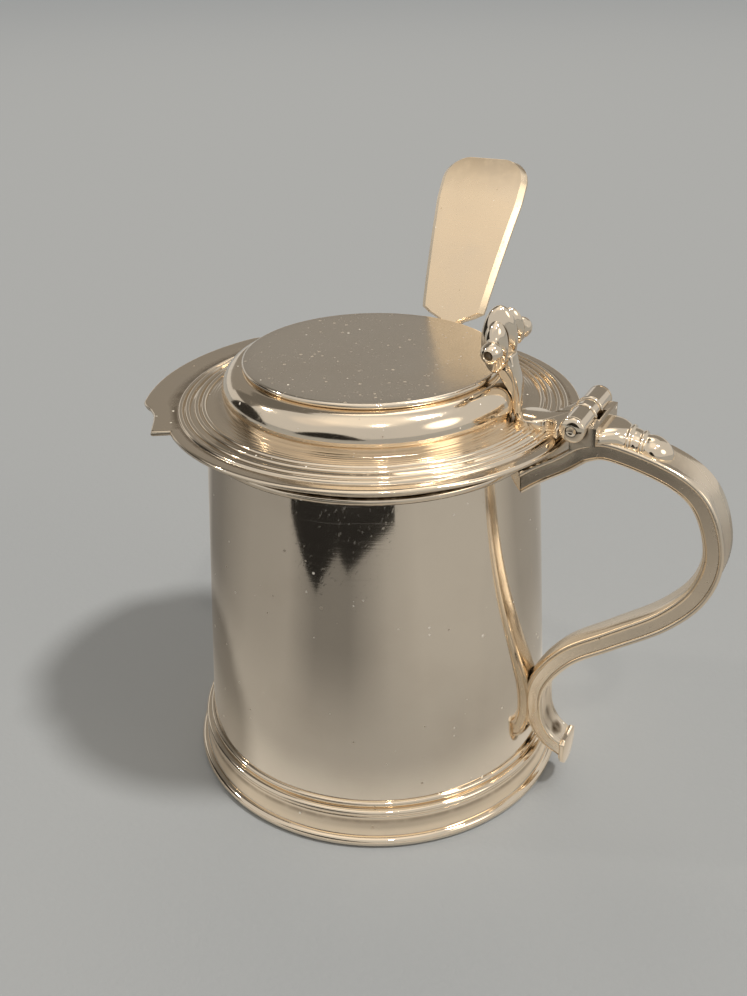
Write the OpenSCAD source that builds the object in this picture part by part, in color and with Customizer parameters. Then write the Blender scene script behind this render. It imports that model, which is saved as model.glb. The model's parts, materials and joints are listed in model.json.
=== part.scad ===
// Silver mustard pot in tankard form, with a hinged lid and a loose spoon.
// Millimetres. Z is up, X points to the handle, and the origin is on the drum's axis, on the table.

/* [Drum] */
// Height of the drum's mouth above the table
drum_h = 67.2; // [60:0.2:74]
// Outer radius of the drum at table level
drum_base_r = 31.9; // [30:0.1:33]
// Outer radius of the drum at the mouth
drum_top_r = 27.9; // [27:0.1:29.5]
// Thickness of the drum's wall
drum_wall = 1.1; // [0.8:0.1:1.6]
// Gap between the table and the drum's lower edge
drum_lift = 0.6; // [0.3:0.1:1.2]
// Gap between the table and the base plate
base_lift = 1.6; // [1:0.1:3]
// Thickness of the base plate
base_t = 1.2; // [0.8:0.1:2]

/* [Foot] */
// How far the foot stands out from the drum at table level
foot_proud = 2.3; // [1.8:0.1:4]
// Height of the bottom bead
foot_bead_h = 1.9; // [1.4:0.1:2.6]
// Height of the swept band above the bottom bead
foot_band_h = 3.7; // [3:0.1:5]
// How far the band stands out from the drum at its upper edge
foot_band_proud = 1.0; // [0.8:0.05:1.3]
// Height of the reed above the band
foot_reed_h = 1.4; // [1:0.1:2]
// Height of the small reed that ends the foot against the drum
foot_cap_h = 1.1; // [0.8:0.1:1.6]

/* [Rim] */
// Height of the rim moulding
rim_h = 4.2; // [3:0.1:6]
// How far the rim moulding stands out from the drum
rim_proud = 1.4; // [1:0.1:1.8]
// Reeds in the rim moulding
rim_reeds = 3; // [2:1:4]

/* [Lid] */
// How far the brim stands out past the drum's mouth
brim_over = 6.7; // [5.6:0.1:7.1]
// Thickness of the lid's sheet
lid_t = 0.85; // [0.6:0.05:1.2]
// Rise of the brim from its border to the step
brim_rise = 1.05; // [0.5:0.05:1.5]
// Radius of the reeds on the brim
reed_r = 0.42; // [0.3:0.02:0.55]
// Distance of the first reed from the brim's edge, beyond which the border is plain
reed_first = 2.6; // [2.4:0.1:3]
// Spacing of the two reeds of a pair
reed_pitch = 1.15; // [0.9:0.05:1.4]
// Distance between the two pairs of reeds
reed_pair = 2.65; // [2.4:0.05:3]
// How far the raised step lies inside the outer radius of the drum's mouth
step_in = 2.8; // [2.5:0.1:4.5]
// Height of the step's widest place above the brim
step_swell_h = 1.7; // [1:0.1:2.4]
// Height of the rounded shoulder above the widest place
step_round_h = 4.15; // [3:0.05:5]
// How far the rounded shoulder draws in
step_round_in = 3.6; // [2.5:0.1:4]
// Radius of the bead round the flat top
top_bead_r = 0.5; // [0.35:0.05:0.7]
// Distance of the flat top's edge from the step's widest place
top_in = 3.6; // [3.3:0.1:4.5]
// Reach of the front lip beyond the brim, at its middle
lip_reach = 4.0; // [2.5:0.1:5]
// Depth of the waves in the lip's edge
lip_wave = 0.65; // [0.2:0.05:0.9]
// Half of the angle that the lip spans
lip_half_angle = 46.5; // [35:0.5:50]
// Angle between the middle of the lip and the hollow of its wave
lip_wave_angle = 38; // [30:1:44]
// Depth of the ring that steadies the lid in the mouth
bezel_h = 3.2; // [2:0.1:4]
// Thickness of that ring
bezel_t = 0.8; // [0.5:0.1:1]
// Room between that ring and the mouth, so that the lid can swing out
bezel_gap = 0.9; // [0.8:0.1:1.1]

/* [Hinge] */
// Distance of the hinge's axis from the brim's edge
hinge_out = 2.1; // [2:0.1:3.4]
// Height of the hinge above the drum's mouth
hinge_up = 4.8; // [4.6:0.1:5.4]
// Radius of the hinge barrel
barrel_r = 2.0; // [1.7:0.1:2.1]
// Length of the hinge barrel
barrel_len = 13.4; // [11:0.2:16]
// Length of the lid's middle knuckle
mid_len = 3.6; // [2.8:0.1:5]
// Radius of the small bead at each end of the middle knuckle
knuckle_bead_r = 0.3; // [0.2:0.05:0.4]
// Radius of the hinge pin
pin_r = 0.8; // [0.6:0.05:1]
// Thickness of the domed pin caps
cap_t = 1.0; // [0.6:0.1:1.4]
// Width of the raised strip behind the barrel
strip_w = 1.0; // [0.7:0.1:1.4]
// Height of the raised strip above the hinge axis
strip_up = -0.2; // [-0.6:0.1:0.4]

/* [Lid leaf] */
// Thickness of the leaf above the brim at the thumbpiece
leaf_t = 1.0; // [0.7:0.1:1.4]
// Radius of the round lobe below the thumbpiece
lobe_r = 3.0; // [2.4:0.1:3.4]
// Distance of the lobe's centre from the step's widest place
lobe_out = 3.3; // [2.9:0.1:3.9]
// Half width of the leaf at the notch beside the lobe
leaf_waist = 2.0; // [1.6:0.1:2.4]

/* [Thumbpiece] */
// Width of the stem
stem_w = 2.8; // [2:0.1:3.6]
// Height of the coil's axis above the flat top of the lid
coil_up = 5.8; // [5.6:0.1:7]
// How far the coil's axis lies inside the step's widest place
coil_in = 1.7; // [0.1:0.1:2.1]
// Length of the coil, end to end
coil_len = 16.4; // [13:0.2:20]
// Radius of the round button at each end of the coil
coil_rod_r = 1.4; // [1:0.05:1.6]
// Depth of the grooves between the turns, as a share of the coil's radius
coil_groove = 0.3; // [0.1:0.02:0.4]
// Half height of the coil at its middle, outside
coil_half_h = 5.3; // [4.5:0.1:5.4]
// Half depth of the coil at its middle, outside
coil_half_d = 2.6; // [2.2:0.1:3]
// Turns of the coil
coil_turns = 4; // [3:1:5]

/* [Handle] */
// Width of the handle at the hinge
handle_w = 8.4; // [7:0.1:10]
// Width of the handle at its lower end
handle_end_w = 5.2; // [4.5:0.1:6.5]
// Depth of the handle, from its back to its inner side
handle_d = 2.9; // [2.4:0.1:3.4]
// Thickness of the outer strap
strap_t = 0.8; // [0.6:0.1:1.1]
// How far the strap stands out past each flank
strap_over = 0.35; // [0.2:0.05:0.6]
// Wall of the hollow channel
channel_wall = 0.6; // [0.4:0.05:0.8]
// Reach of the handle from the drum's axis
handle_reach = 60.4; // [57:0.2:66]
// Height of the handle's widest place above the table
handle_mid_z = 53.5; // [50:0.5:56]
// Depth of the handle's back below the hinge barrel
grip_gap = 0.8; // [0.6:0.1:1.2]
// How far below the mouth the handle's upper end runs into the drum
handle_root = 12; // [9:0.5:14]
// Distance of the shield plate from the drum
heel_out = 5.6; // [5:0.1:6.5]
// Thickness of the shield plate at the lower end
heel_t = 0.9; // [0.6:0.1:1.3]
// Width of the shield plate
heel_w = 6.4; // [5.4:0.1:8]
// Height of the shield plate
heel_h = 6.0; // [5:0.1:7]
// Height of the shield plate's tip above the table
heel_z = 4.2; // [3:0.1:5]

/* [Drop] */
// Length of the drop down the handle's back
drop_len = 11.2; // [9:0.2:12]
// Half width of the drop where it leaves the hinge
drop_half_w = 4.4; // [3.4:0.1:4.4]
// Height of the drop where it leaves the hinge
drop_h = 2.5; // [1.8:0.1:2.8]

/* [Spoon] */
// Length of the spoon
spoon_len = 110.5; // [106:0.5:116]
// Lean of the spoon from upright
spoon_lean = 29; // [28:0.2:31]
// Place of the spoon along the handle's direction
spoon_x = 1.8; // [0:0.1:3]
// Length of the bowl
bowl_len = 27; // [22:0.5:30]
// Width of the bowl
bowl_w = 18; // [14:0.5:20]
// Depth of the bowl, outside
bowl_depth = 5.2; // [4:0.1:6]
// Thickness of the bowl's wall
bowl_t = 0.9; // [0.7:0.1:1.2]
// Width of the stem at its narrowest
stem_min_w = 3.2; // [2.6:0.1:4]
// Thickness of the stem and handle
spoon_t = 1.8; // [1.4:0.1:2]
// Length of the broad fiddle end
fiddle_len = 32; // [28:0.5:34]
// Width of the fiddle end at its shoulders
fiddle_low_w = 12.4; // [10:0.1:13]
// Largest width of the fiddle end
fiddle_top_w = 16.3; // [14:0.1:17]
// Length of the fiddle's shoulders
shoulder_len = 3; // [2:0.5:5]
// Radius of the fiddle's end corners
fiddle_corner_r = 5; // [4:0.5:6]
// Radius of the backward curve of the handle's end
fiddle_curve_r = 180; // [140:5:260]

/* [Fits] */
// Joint left for solder between fixed pieces
solder = 0.04; // [0.02:0.01:0.08]
// Gap between the closed lid and the rim
lid_gap = 0.25; // [0.2:0.05:0.4]
// Clearance between pieces that move past each other
run_gap = 0.35; // [0.3:0.05:0.5]
// Radial clearance of the pin in the fixed knuckles
pin_fit = 0.02; // [0.01:0.01:0.04]
// Radial clearance of the pin in the lid's knuckle
pin_run = 0.06; // [0.03:0.01:0.1]
// End clearance between knuckles
knuckle_gap = 0.15; // [0.1:0.05:0.3]
// Clearance between the spoon and the pot at rest
spoon_gap = 0.5; // [0.4:0.05:0.8]
// Clearance round the spoon in the lid's notch
notch_gap = 0.9; // [0.8:0.1:1.2]

/* [Hidden] */

$fn = 96;
silver = "#cfc8bb";
silver_warm = "#d6c7ac";
silver_dark = "#a79f92";

foot_h = foot_bead_h + foot_band_h + foot_reed_h + foot_cap_h;
foot_r = drum_base_r + foot_proud;
bore_top_r = drum_top_r - drum_wall;
rim_r = drum_top_r + rim_proud;
brim_r = drum_top_r + brim_over;
step_r = drum_top_r - step_in;
top_r = step_r - top_in;
lid_z = drum_h + lid_gap;
border_z = lid_z + lid_t;
border_r = brim_r - reed_first + reed_r;
brim_z = border_z + brim_rise;
swell_z = brim_z + step_swell_h;
shoulder_angle = 76;
shoulder_z = swell_z + step_round_h * sin(shoulder_angle);
top_z = shoulder_z + 2 * top_bead_r;
bezel_r = bore_top_r - bezel_gap;
hinge_x = brim_r + hinge_out;
hinge_z = drum_h + hinge_up;
bracket_x = hinge_x + barrel_r + strip_w;
side_len = (barrel_len - mid_len) / 2 - knuckle_gap;
lobe_x = step_r + lobe_out;
coil_x = step_r - coil_in;
coil_z = top_z + coil_up;
far = 200;

// Points on an ellipse about c, with half axes a and b, from angle a0 to a1
function arc(c, a, b, a0, a1, n = 8) =
  [for (i = [0:n]) let (t = a0 + (a1 - a0) * i / n) c + [a * cos(t), b * sin(t)]];

// Radius of the drum at height z
function drum_r(z) = drum_base_r + (drum_top_r - drum_base_r) * z / drum_h;

function mix(a, b, t) = a + (b - a) * t;

// Smooth step from 0 to 1
function ease(t) = (1 - cos(180 * t)) / 2;

function flip(list) = [for (i = [len(list) - 1:-1:0]) list[i]];

// Solid through a row of closed rings with equal numbers of points
module loft(rings) {
  n = len(rings[0]);
  last = len(rings) - 1;
  points = [for (ring = rings) each ring];
  sides = [for (i = [0:last - 1], j = [0:n - 1])
    let (a = i * n + j, b = i * n + (j + 1) % n) each [[a, a + n, b + n], [a, b + n, b]]];
  start = [for (j = [0:n - 1]) j];
  end = [for (j = [n - 1:-1:0]) last * n + j];
  polyhedron(points, concat(sides, [start, end]), convexity = 6);
}

// Ring about the drum's axis with the given outline of [radius, height]
module turned(outline) rotate_extrude() polygon(outline);

// Piece with the given outline of [x, z], of length w across the handle's plane
module cross_bar(outline, w) rotate([90, 0, 0]) linear_extrude(w, center = true) polygon(outline);

// Rod along the hinge, centred at y
module hinge_rod(r, length, y = 0)
  translate([hinge_x, y, hinge_z]) rotate([90, 0, 0]) cylinder(h = length, r = r, center = true);

// Outline of the pot's fixed wall from the axis outwards, grown by a joint
function pot_outline(joint) = concat(
  [[0, 0], [drum_r(0) + joint, 0]],
  [[drum_r(drum_h - rim_h) + joint, drum_h - rim_h - joint]],
  [[rim_r + joint, drum_h - rim_h - joint], [rim_r + joint, drum_h], [0, drum_h]]
);

// Drum, base, foot and rim
module drum() {
  color(silver) turned([
    [drum_r(drum_lift) - drum_wall, drum_lift], [drum_r(drum_lift), drum_lift],
    [drum_top_r, drum_h], [bore_top_r, drum_h]
  ]);
}

module base_plate() {
  top = base_lift + base_t;
  edge = drum_wall + solder;
  color(silver_dark) turned([
    [0, base_lift], [drum_r(base_lift) - edge, base_lift], [drum_r(top) - edge, top], [0, top]
  ]);
}

// Outer outline of the foot, from the table up
function foot_outline() =
  let (
    bead = foot_bead_h / 2,
    reed = foot_reed_h / 2,
    cap = foot_cap_h / 2,
    low_r = foot_r - bead,
    band_z = foot_bead_h,
    reed_z = band_z + foot_band_h,
    cap_z = reed_z + foot_reed_h,
    band_r = drum_r(reed_z) + foot_band_proud,
    reed_x = band_r - reed * 0.4,
    cap_r = max(drum_r(cap_z), drum_r(foot_h)) + solder,
    steps = 8
  )
  concat(
    arc([low_r, bead], bead, bead, -90, 90),
    [for (i = [1:steps - 1]) [mix(low_r, band_r, ease(i / steps)), mix(band_z, reed_z, i / steps)]],
    arc([reed_x, reed_z + reed], reed, reed, -90, 90),
    arc([cap_r, cap_z + cap], cap, cap, -80, 90)
  );

module foot_moulding() {
  color(silver_warm) turned(concat(
    [[drum_r(0) + solder, 0]], foot_outline(), [[drum_r(foot_h) + solder, foot_h]]
  ));
}

module rim_moulding() {
  z0 = drum_h - rim_h;
  half = rim_h / rim_reeds / 2;
  // The reeds grow flatter towards the mouth, and all reach the same radius
  depths = [for (i = [0:rim_reeds - 1]) half * mix(0.94, 0.44, i / (rim_reeds - 1))];
  color(silver_warm) turned(concat(
    [[drum_r(z0) + solder, z0]],
    [for (i = [0:rim_reeds - 1])
      each arc([rim_r - depths[i], z0 + half * (2 * i + 1)], depths[i], half, -85, 85, 6)],
    [[drum_top_r + solder, drum_h]]
  ));
}

// Handle: its back follows a smooth line from the drum, over the hinge and down to the heel
grip_top = hinge_z - barrel_r - grip_gap;
heel_x = drum_r(heel_z) + heel_out;

// Places on that line, as shares of the spans between the drum, the hinge, the widest place and the heel
function root(reach, rise) = [mix(drum_top_r, hinge_x, reach), mix(drum_h - handle_root, grip_top, rise)];
function crown(reach, rise) = [mix(hinge_x, handle_reach, reach), mix(handle_mid_z, grip_top, rise)];
function limb(reach, fall) = [mix(hinge_x, handle_reach, reach), mix(handle_mid_z, heel_z, fall)];
function shin(reach, fall) =
  let (z = mix(handle_mid_z, heel_z, fall)) [mix(drum_r(z), drum_r(z) + heel_out, reach), z];

back_line = [
  root(-0.93, 0), root(-0.455, 0.243), root(0.09, 0.53), root(0.636, 0.757), root(1.07, 0.95),
  crown(0.236, 1.006), crown(0.65, 0.834), crown(0.886, 0.54), crown(1, 0),
  limb(0.93, 0.162), limb(0.71, 0.3), limb(0.36, 0.43), limb(0.063, 0.54),
  shin(0.59, 0.673), shin(0.48, 0.785), shin(0.7, 0.854),
  [heel_x, heel_z + 0.93 * heel_h], [heel_x + heel_h / 2, heel_z + 0.77 * heel_h]
];
back_steps = 4;

// Point and direction of a smooth curve through p, between its points i and i + 1
function curve_at(p, i, t) =
  let (a = p[i - 1], b = p[i], c = p[i + 1], d = p[i + 2])
  b + (t * (c - a) + t * t * (2 * a - 5 * b + 4 * c - d) + t * t * t * (3 * b - a - 3 * c + d)) / 2;
function curve_dir(p, i, t) =
  let (a = p[i - 1], b = p[i], c = p[i + 1], d = p[i + 2],
       v = (c - a) + 2 * t * (2 * a - 5 * b + 4 * c - d) + 3 * t * t * (3 * b - a - 3 * c + d))
  v / norm(v);

back_spans = len(back_line) - 3;
back_stations = [for (k = [0:back_spans * back_steps])
  let (i = min(floor(k / back_steps), back_spans - 1)) [i + 1, k / back_steps - i]];
back_points = [for (s = back_stations) curve_at(back_line, s[0], s[1])];
back_dirs = [for (s = back_stations) curve_dir(back_line, s[0], s[1])];

// Height of the handle's back above the table, on its upper side
function back_z(x) = lookup(x, [for (p = back_points) if (p[1] > mix(handle_mid_z, grip_top, 0.13)) p]);

// Half width of the handle at a share of its length
function handle_half(t) = mix(handle_w, handle_end_w, t) / 2;

// Rings of a handle section; section(half width) gives [across, outwards] points
function handle_rings(section) = [for (k = [0:len(back_points) - 1])
  let (
    p = back_points[k],
    d = back_dirs[k],
    out = [-d[1], d[0]],
    half = handle_half(k / (len(back_points) - 1))
  )
  [for (q = section(half)) [p[0] + out[0] * q[1], q[0], p[1] + out[1] * q[1]]]];

strap_edge = 0.3;
strap_section = function (half)
  let (h = half + strap_over)
  [[-h, -strap_t], [h, -strap_t], [h, -strap_edge], [h - strap_edge, 0],
   [-h + strap_edge, 0], [-h, -strap_edge]];

channel_round = 1.1;
channel_section = function (half)
  let (low = channel_round - handle_d)
  concat(
    [[-half, -strap_t - solder]],
    arc([-half + channel_round, low], channel_round, channel_round, 180, 270, 3),
    arc([half - channel_round, low], channel_round, channel_round, 270, 360, 3),
    [[half, -strap_t - solder]]
  );
hollow_section = function (half)
  let (inner = half - channel_wall, low = channel_wall - handle_d)
  [[-inner, 0], [-inner, low], [inner, low], [inner, 0]];

module handle_channel() {
  color(silver) difference() {
    loft(handle_rings(channel_section));
    loft(handle_rings(hollow_section));
    turned(pot_outline(solder));
    heel_front();
  }
}

module handle_back() {
  color(silver_warm) difference() {
    loft(handle_rings(strap_section));
    turned(pot_outline(solder));
    heel_front();
  }
}

// Space in front of the plane where the handle ends against the shield plate
module heel_front()
  translate([heel_x - solder, -far / 2, -far / 2]) cube([far, far, heel_z + 1.5 * heel_h + far / 2]);

module handle_heel() {
  w = heel_w / 2;
  right = concat(
    arc([0, heel_h * 0.55], w, heel_h * 0.55, -60, 0, 5),
    [[w, heel_h * 0.9], [w * 0.72, heel_h]]
  );
  left = [for (p = flip(right)) [-p[0], p[1]]];
  color(silver) translate([heel_x, 0, heel_z]) rotate([90, 0, 90]) linear_extrude(heel_t)
    polygon(concat([[0, 0]], right, [[0, heel_h * 0.92]], left));
}

// Hinge
module hinge_bracket() {
  front = hinge_x - 0.35 * barrel_r;
  strip_z = hinge_z + strip_up;
  strip_edge = strip_w / 5;
  under = [for (i = [0:8]) let (x = mix(front, bracket_x, i / 8)) [x, back_z(x) + solder]];
  outline = concat(under, [
    [bracket_x, strip_z - strip_edge], [bracket_x - strip_edge, strip_z],
    [bracket_x - strip_w - strip_edge, strip_z], [front, hinge_z - 0.85 * barrel_r]
  ]);
  color(silver) difference() {
    cross_bar(outline, barrel_len);
    hinge_rod(barrel_r + solder, barrel_len + 2);
    hinge_rod(barrel_r + knuckle_bead_r + run_gap, mid_len + 2 * knuckle_gap);
  }
}

module handle_knuckles() {
  color(silver_warm) for (side = [-1, 1]) {
    y = side * (barrel_len - side_len) / 2;
    difference() {
      hinge_rod(barrel_r, side_len, y);
      hinge_rod(pin_r + pin_fit, side_len + 1, y);
    }
  }
}

module hinge_pin() color(silver_dark) hinge_rod(pin_r, barrel_len);

module pin_caps() {
  edge = 0.35 * cap_t;
  dimple_r = 0.22 * barrel_r;
  dimple_z = 0.55 * cap_t;
  dome = concat(
    [[0, 0], [barrel_r, 0], [barrel_r, edge]],
    arc([0, edge], barrel_r, cap_t - edge, 12, 60, 5),
    [[1.6 * dimple_r, 0.85 * cap_t], [dimple_r, dimple_z], [0, dimple_z]]
  );
  color(silver) for (side = [-1, 1])
    translate([hinge_x, side * (barrel_len / 2 + solder), hinge_z])
      rotate([-90 * side, 0, 0]) rotate_extrude() polygon(dome);
}

// Drop: half-round baluster on the handle's back, as [share of length, half width, height]
drop_stations = [
  [0, 1, 1], [0.09, 0.93, 1.02], [0.18, 0.82, 1.02], [0.27, 0.7, 1], [0.35, 0.58, 0.96],
  [0.36, 0.68, 1.1], [0.4, 0.68, 1.1], [0.41, 0.52, 0.9],
  [0.47, 0.6, 1], [0.53, 0.52, 0.86], [0.54, 0.62, 1], [0.58, 0.62, 1], [0.59, 0.44, 0.76],
  [0.66, 0.6, 0.94], [0.76, 0.68, 1.06], [0.85, 0.62, 1], [0.91, 0.42, 0.76], [0.94, 0.24, 0.5],
  [0.95, 0.27, 0.5], [0.98, 0.27, 0.46], [1, 0.14, 0.26]
];

module handle_drop() {
  start = bracket_x + solder;
  rings = [for (s = drop_stations)
    let (x = start + s[0] * drop_len, z = back_z(x) + solder)
    concat(
      [[x, -s[1] * drop_half_w, z]],
      [[x, s[1] * drop_half_w, z]],
      [for (q = arc([0, 0], s[1] * drop_half_w, s[2] * drop_h, 15, 165, 10)) [x, q[0], z + q[1]]]
    )];
  color(silver_warm) loft(rings);
}

// Lid
function lid_outline() =
  let (
    edge = lid_t / 2,
    foot_in = 0.35,
    bead_r = top_r - top_bead_r,
    roof_z = top_z - lid_t
  )
  concat(
    [[brim_r - edge, lid_z]],
    arc([brim_r - edge, lid_z + edge], edge, edge, -75, 90, 6),
    [[border_r, border_z]],
    [for (r = reed_radii) each arc([r, brim_top(r)], reed_r, reed_r, 0, 180, 8)],
    [[step_r - foot_in, brim_z]],
    arc([step_r - foot_in, swell_z], foot_in, step_swell_h, -70, -10, 4),
    arc([step_r - step_round_in, swell_z], step_round_in, step_round_h, 0, shoulder_angle, 12),
    [[bead_r + 0.1, shoulder_z]],
    arc([bead_r, shoulder_z + top_bead_r], top_bead_r, top_bead_r, -70, 90, 8),
    [[0, top_z], [0, roof_z], [bead_r - 0.4, roof_z]],
    flip(arc([step_r - step_round_in, swell_z], step_round_in - lid_t, step_round_h - lid_t,
      0, shoulder_angle - 6, 10)),
    [[step_r - lid_t, lid_z]]
  );

// Height of the brim's upper face at radius r
function brim_top(r) = border_z + brim_rise * max(0, border_r - r) / (border_r - step_r);

reed_radii = [for (pair = [0, 1], k = [0, 1]) brim_r - reed_first - pair * reed_pair - k * reed_pitch];

// Radius of the lip's wavy edge at an angle from the front
function lip_edge(t) = brim_r + lip_reach - lip_wave + lip_wave * cos(180 * t / lip_wave_angle);

module lid_lip() {
  steps = 40;
  lip_inset = 0.05;
  edge = [for (i = [-steps:steps]) let (t = lip_half_angle * i / steps)
    lip_edge(t) * [-cos(t), sin(t)]];
  root = [for (i = [steps:-1:-steps]) let (t = lip_half_angle * i / steps)
    mix(border_r, brim_r, 0.5) * [-cos(t), sin(t)]];
  translate([0, 0, lid_z + lip_inset]) linear_extrude(lid_t - 2 * lip_inset) polygon(concat(edge, root));
}

// Spoon: place of its centre line at height z, and its half width at a distance up its axis
spoon_tip_z = base_lift + base_t + spoon_gap + 0.5;
stem_y_at_mouth = bore_top_r - spoon_gap - spoon_t / 2 / cos(spoon_lean);
function spoon_y(z) = stem_y_at_mouth + (z - drum_h) * tan(spoon_lean);
function spoon_half_at(z) = fiddle_half((z - spoon_tip_z) / cos(spoon_lean));

fiddle_start = spoon_len - fiddle_len;
// Half width of the stem and the fiddle end at a distance from the bowl's tip
function fiddle_half(s) =
  s < fiddle_start ? stem_min_w / 2
  : s < fiddle_start + shoulder_len
    ? mix(stem_min_w, fiddle_low_w, ease((s - fiddle_start) / shoulder_len)) / 2
  : mix(fiddle_low_w, fiddle_top_w, min(1, (s - fiddle_start - shoulder_len) / (0.65 * fiddle_len))) / 2;

// Notch in the brim: the way the spoon takes through the lid while the lid swings up past it
module spoon_notch() {
  rise_end = (brim_r + 2 - spoon_y(lid_z)) / tan(spoon_lean);
  swing = hinge_x - spoon_x;
  ways = [for (i = [0:10])
    let (
      h = rise_end * i / 10,
      z = brim_z + h,
      y = spoon_y(lid_z + h),
      back = swing - sqrt(swing * swing - h * h)
    ) [y, spoon_half_at(z) + notch_gap, back]];
  right_side = [for (w = ways) [spoon_x + w[1], w[0]]];
  left_side = [for (w = ways) [spoon_x - w[1] - w[2], w[0]]];
  inner = spoon_y(lid_z) - spoon_t - notch_gap;
  translate([0, 0, drum_h - bezel_h - 2]) linear_extrude(brim_z + 0.7 - drum_h + bezel_h + 2)
    polygon(concat(
      [[spoon_x + ways[0][1], inner]], right_side,
      [[spoon_x + ways[10][1], brim_r + 10], [spoon_x - ways[10][1] - ways[10][2], brim_r + 10]],
      flip(left_side), [[spoon_x - ways[0][1], inner]]
    ));
}

module lid_cover() {
  color(silver) difference() {
    union() {
      turned(lid_outline());
      lid_lip();
    }
    spoon_notch();
  }
}

module lid_bezel() {
  z1 = lid_z - solder;
  z0 = lid_z - bezel_h;
  color(silver_dark) difference() {
    turned([
      [bezel_r - bezel_t, z0], [bezel_r - 0.3, z0], [bezel_r, z0 + 0.4], [bezel_r, z1],
      [bezel_r - bezel_t, z1]
    ]);
    spoon_notch();
  }
}

// Leaf from the thumbpiece to the hinge
leaf_end = hinge_x - barrel_r - run_gap;
leaf_top = brim_z + leaf_t;
tongue_end = hinge_x - 0.7 * barrel_r;

// Outline of the leaf seen from above: a round lobe, a waist, two wings and a tongue
module leaf_plan() {
  wing = barrel_len / 2;
  waist_angle = asin(leaf_waist / lobe_r);
  waist_x = lobe_x + lobe_r * cos(waist_angle);
  flare = leaf_end - waist_x - 0.8;
  lobe = arc([lobe_x, 0], lobe_r, lobe_r, 180, waist_angle, 12);
  upper = concat(
    lobe,
    arc([waist_x, wing], flare, wing - leaf_waist, -80, -8, 7),
    [[leaf_end, wing], [leaf_end, mid_len / 2], [tongue_end, mid_len / 2]]
  );
  lower = [for (i = [len(upper) - 1:-1:1]) [upper[i][0], -upper[i][1]]];
  polygon(concat(upper, lower));
}

module lid_hinge_leaf() {
  low = lid_z + 0.75 * lid_t;
  crest = hinge_z - 0.7;
  color(silver_warm) difference() {
    intersection() {
      translate([0, 0, low]) linear_extrude(crest - low) leaf_plan();
      cross_bar([
        [lobe_x - 2 * lobe_r, low], [hinge_x, low], [hinge_x, crest], [leaf_end - 1.4, crest],
        [lobe_x + 1.5, leaf_top], [lobe_x - 2 * lobe_r, leaf_top]
      ], 2 * barrel_len);
    }
    // Seat on the reeded brim and the step
    translate([0, 0, solder]) turned(lid_outline());
    turned([[0, low - 1], [step_r + solder, low - 1], [step_r + solder, crest], [0, crest]]);
    hinge_rod(barrel_r + knuckle_bead_r + solder, 2 * barrel_len);
  }
}

module lid_knuckle() {
  color(silver_warm) difference() {
    union() {
      hinge_rod(barrel_r, mid_len);
      for (side = [-1, 1]) translate([hinge_x, side * (mid_len / 2 - knuckle_bead_r), hinge_z])
        rotate([90, 0, 0]) rotate_extrude() translate([barrel_r - 0.1, 0])
          circle(knuckle_bead_r, $fn = 20);
    }
    hinge_rod(pin_r + pin_run, mid_len + 2);
  }
}

// Thumbpiece: a corkscrew across the lid that swells from a round button at each end to its middle
coil_rings = 44;
coil_sides = 18;
coil_neck = coil_len / 2 - 1.9 * coil_rod_r;

// Share of the coil's full size at a distance y from its middle
function coil_swell(y) = mix(0.3, 1, sqrt(max(0, 1 - pow(y / coil_neck, 2))));

// Radius of the round end button at a distance y from the middle of the coil
function coil_button(y) =
  coil_rod_r * sqrt(max(0.02, 1 - pow((abs(y) - coil_len / 2 + coil_rod_r) / coil_rod_r, 2)));

// Outline of the corkscrew at a distance y from its middle: rounded turns that wind round it
function coil_ring(y) =
  let (body = abs(y) < coil_neck, g = body ? coil_swell(y) : 0)
  [for (j = [0:coil_sides - 1])
    let (
      t = 360 * j / coil_sides,
      turn = 1 - coil_groove * pow(sin((t - 360 * coil_turns * y / coil_len) / 2), 4),
      half_d = body ? coil_half_d * g * turn : coil_button(y),
      half_h = body ? coil_half_h * g * turn : coil_button(y)
    )
    [coil_x + half_d * sin(t), y, coil_z + half_h * cos(t)]];

module corkscrew()
  loft([for (i = [0:coil_rings]) coil_ring(mix(-coil_len / 2, coil_len / 2, i / coil_rings))]);

module thumbpiece() {
  foot_x = max(step_r + solder + 0.4, lobe_x - lobe_r + 0.2);
  z0 = leaf_top + solder;
  outline = [
    [foot_x, z0], [foot_x + 1.5, z0], [foot_x + 0.9, mix(z0, coil_z, 0.35)],
    [coil_x + 2.1, mix(z0, coil_z, 0.7)], [coil_x + 1.2, coil_z - 2], [coil_x - 1.2, coil_z - 2],
    [coil_x - 1.7, mix(z0, coil_z, 0.68)], [foot_x - 0.6, mix(z0, coil_z, 0.38)]
  ];
  color(silver_warm) union() {
    cross_bar(outline, stem_w);
    corkscrew();
  }
}

// Spoon, drawn lying along Z with its bowl at the bottom and its hollow side towards -Y
module bowl() {
  half = bowl_len / 2;
  inner = [bowl_w / 2 - bowl_t, bowl_depth - bowl_t, half - bowl_t];
  translate([0, 0, half]) intersection() {
    difference() {
      scale([bowl_w / 2, bowl_depth, half]) sphere(1, $fn = 40);
      scale(inner) sphere(1, $fn = 40);
    }
    translate([-far / 2, 0, -far / 2]) cube([far, far, far]);
  }
}

// Side view of the stem and handle: straight, then curving gently backwards
module spoon_blade() {
  bend_z = fiddle_start;
  low = bowl_len - 1.2;
  width = fiddle_top_w + 4;
  rotate([90, 0, 90]) linear_extrude(width, center = true) union() {
    translate([0, low]) square([spoon_t, bend_z - low]);
    intersection() {
      translate([fiddle_curve_r, bend_z]) difference() {
        circle(fiddle_curve_r, $fn = 360);
        circle(fiddle_curve_r - spoon_t, $fn = 360);
      }
      translate([-1, bend_z]) square([far / 4, spoon_len + 4 - bend_z]);
    }
  }
}

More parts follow.
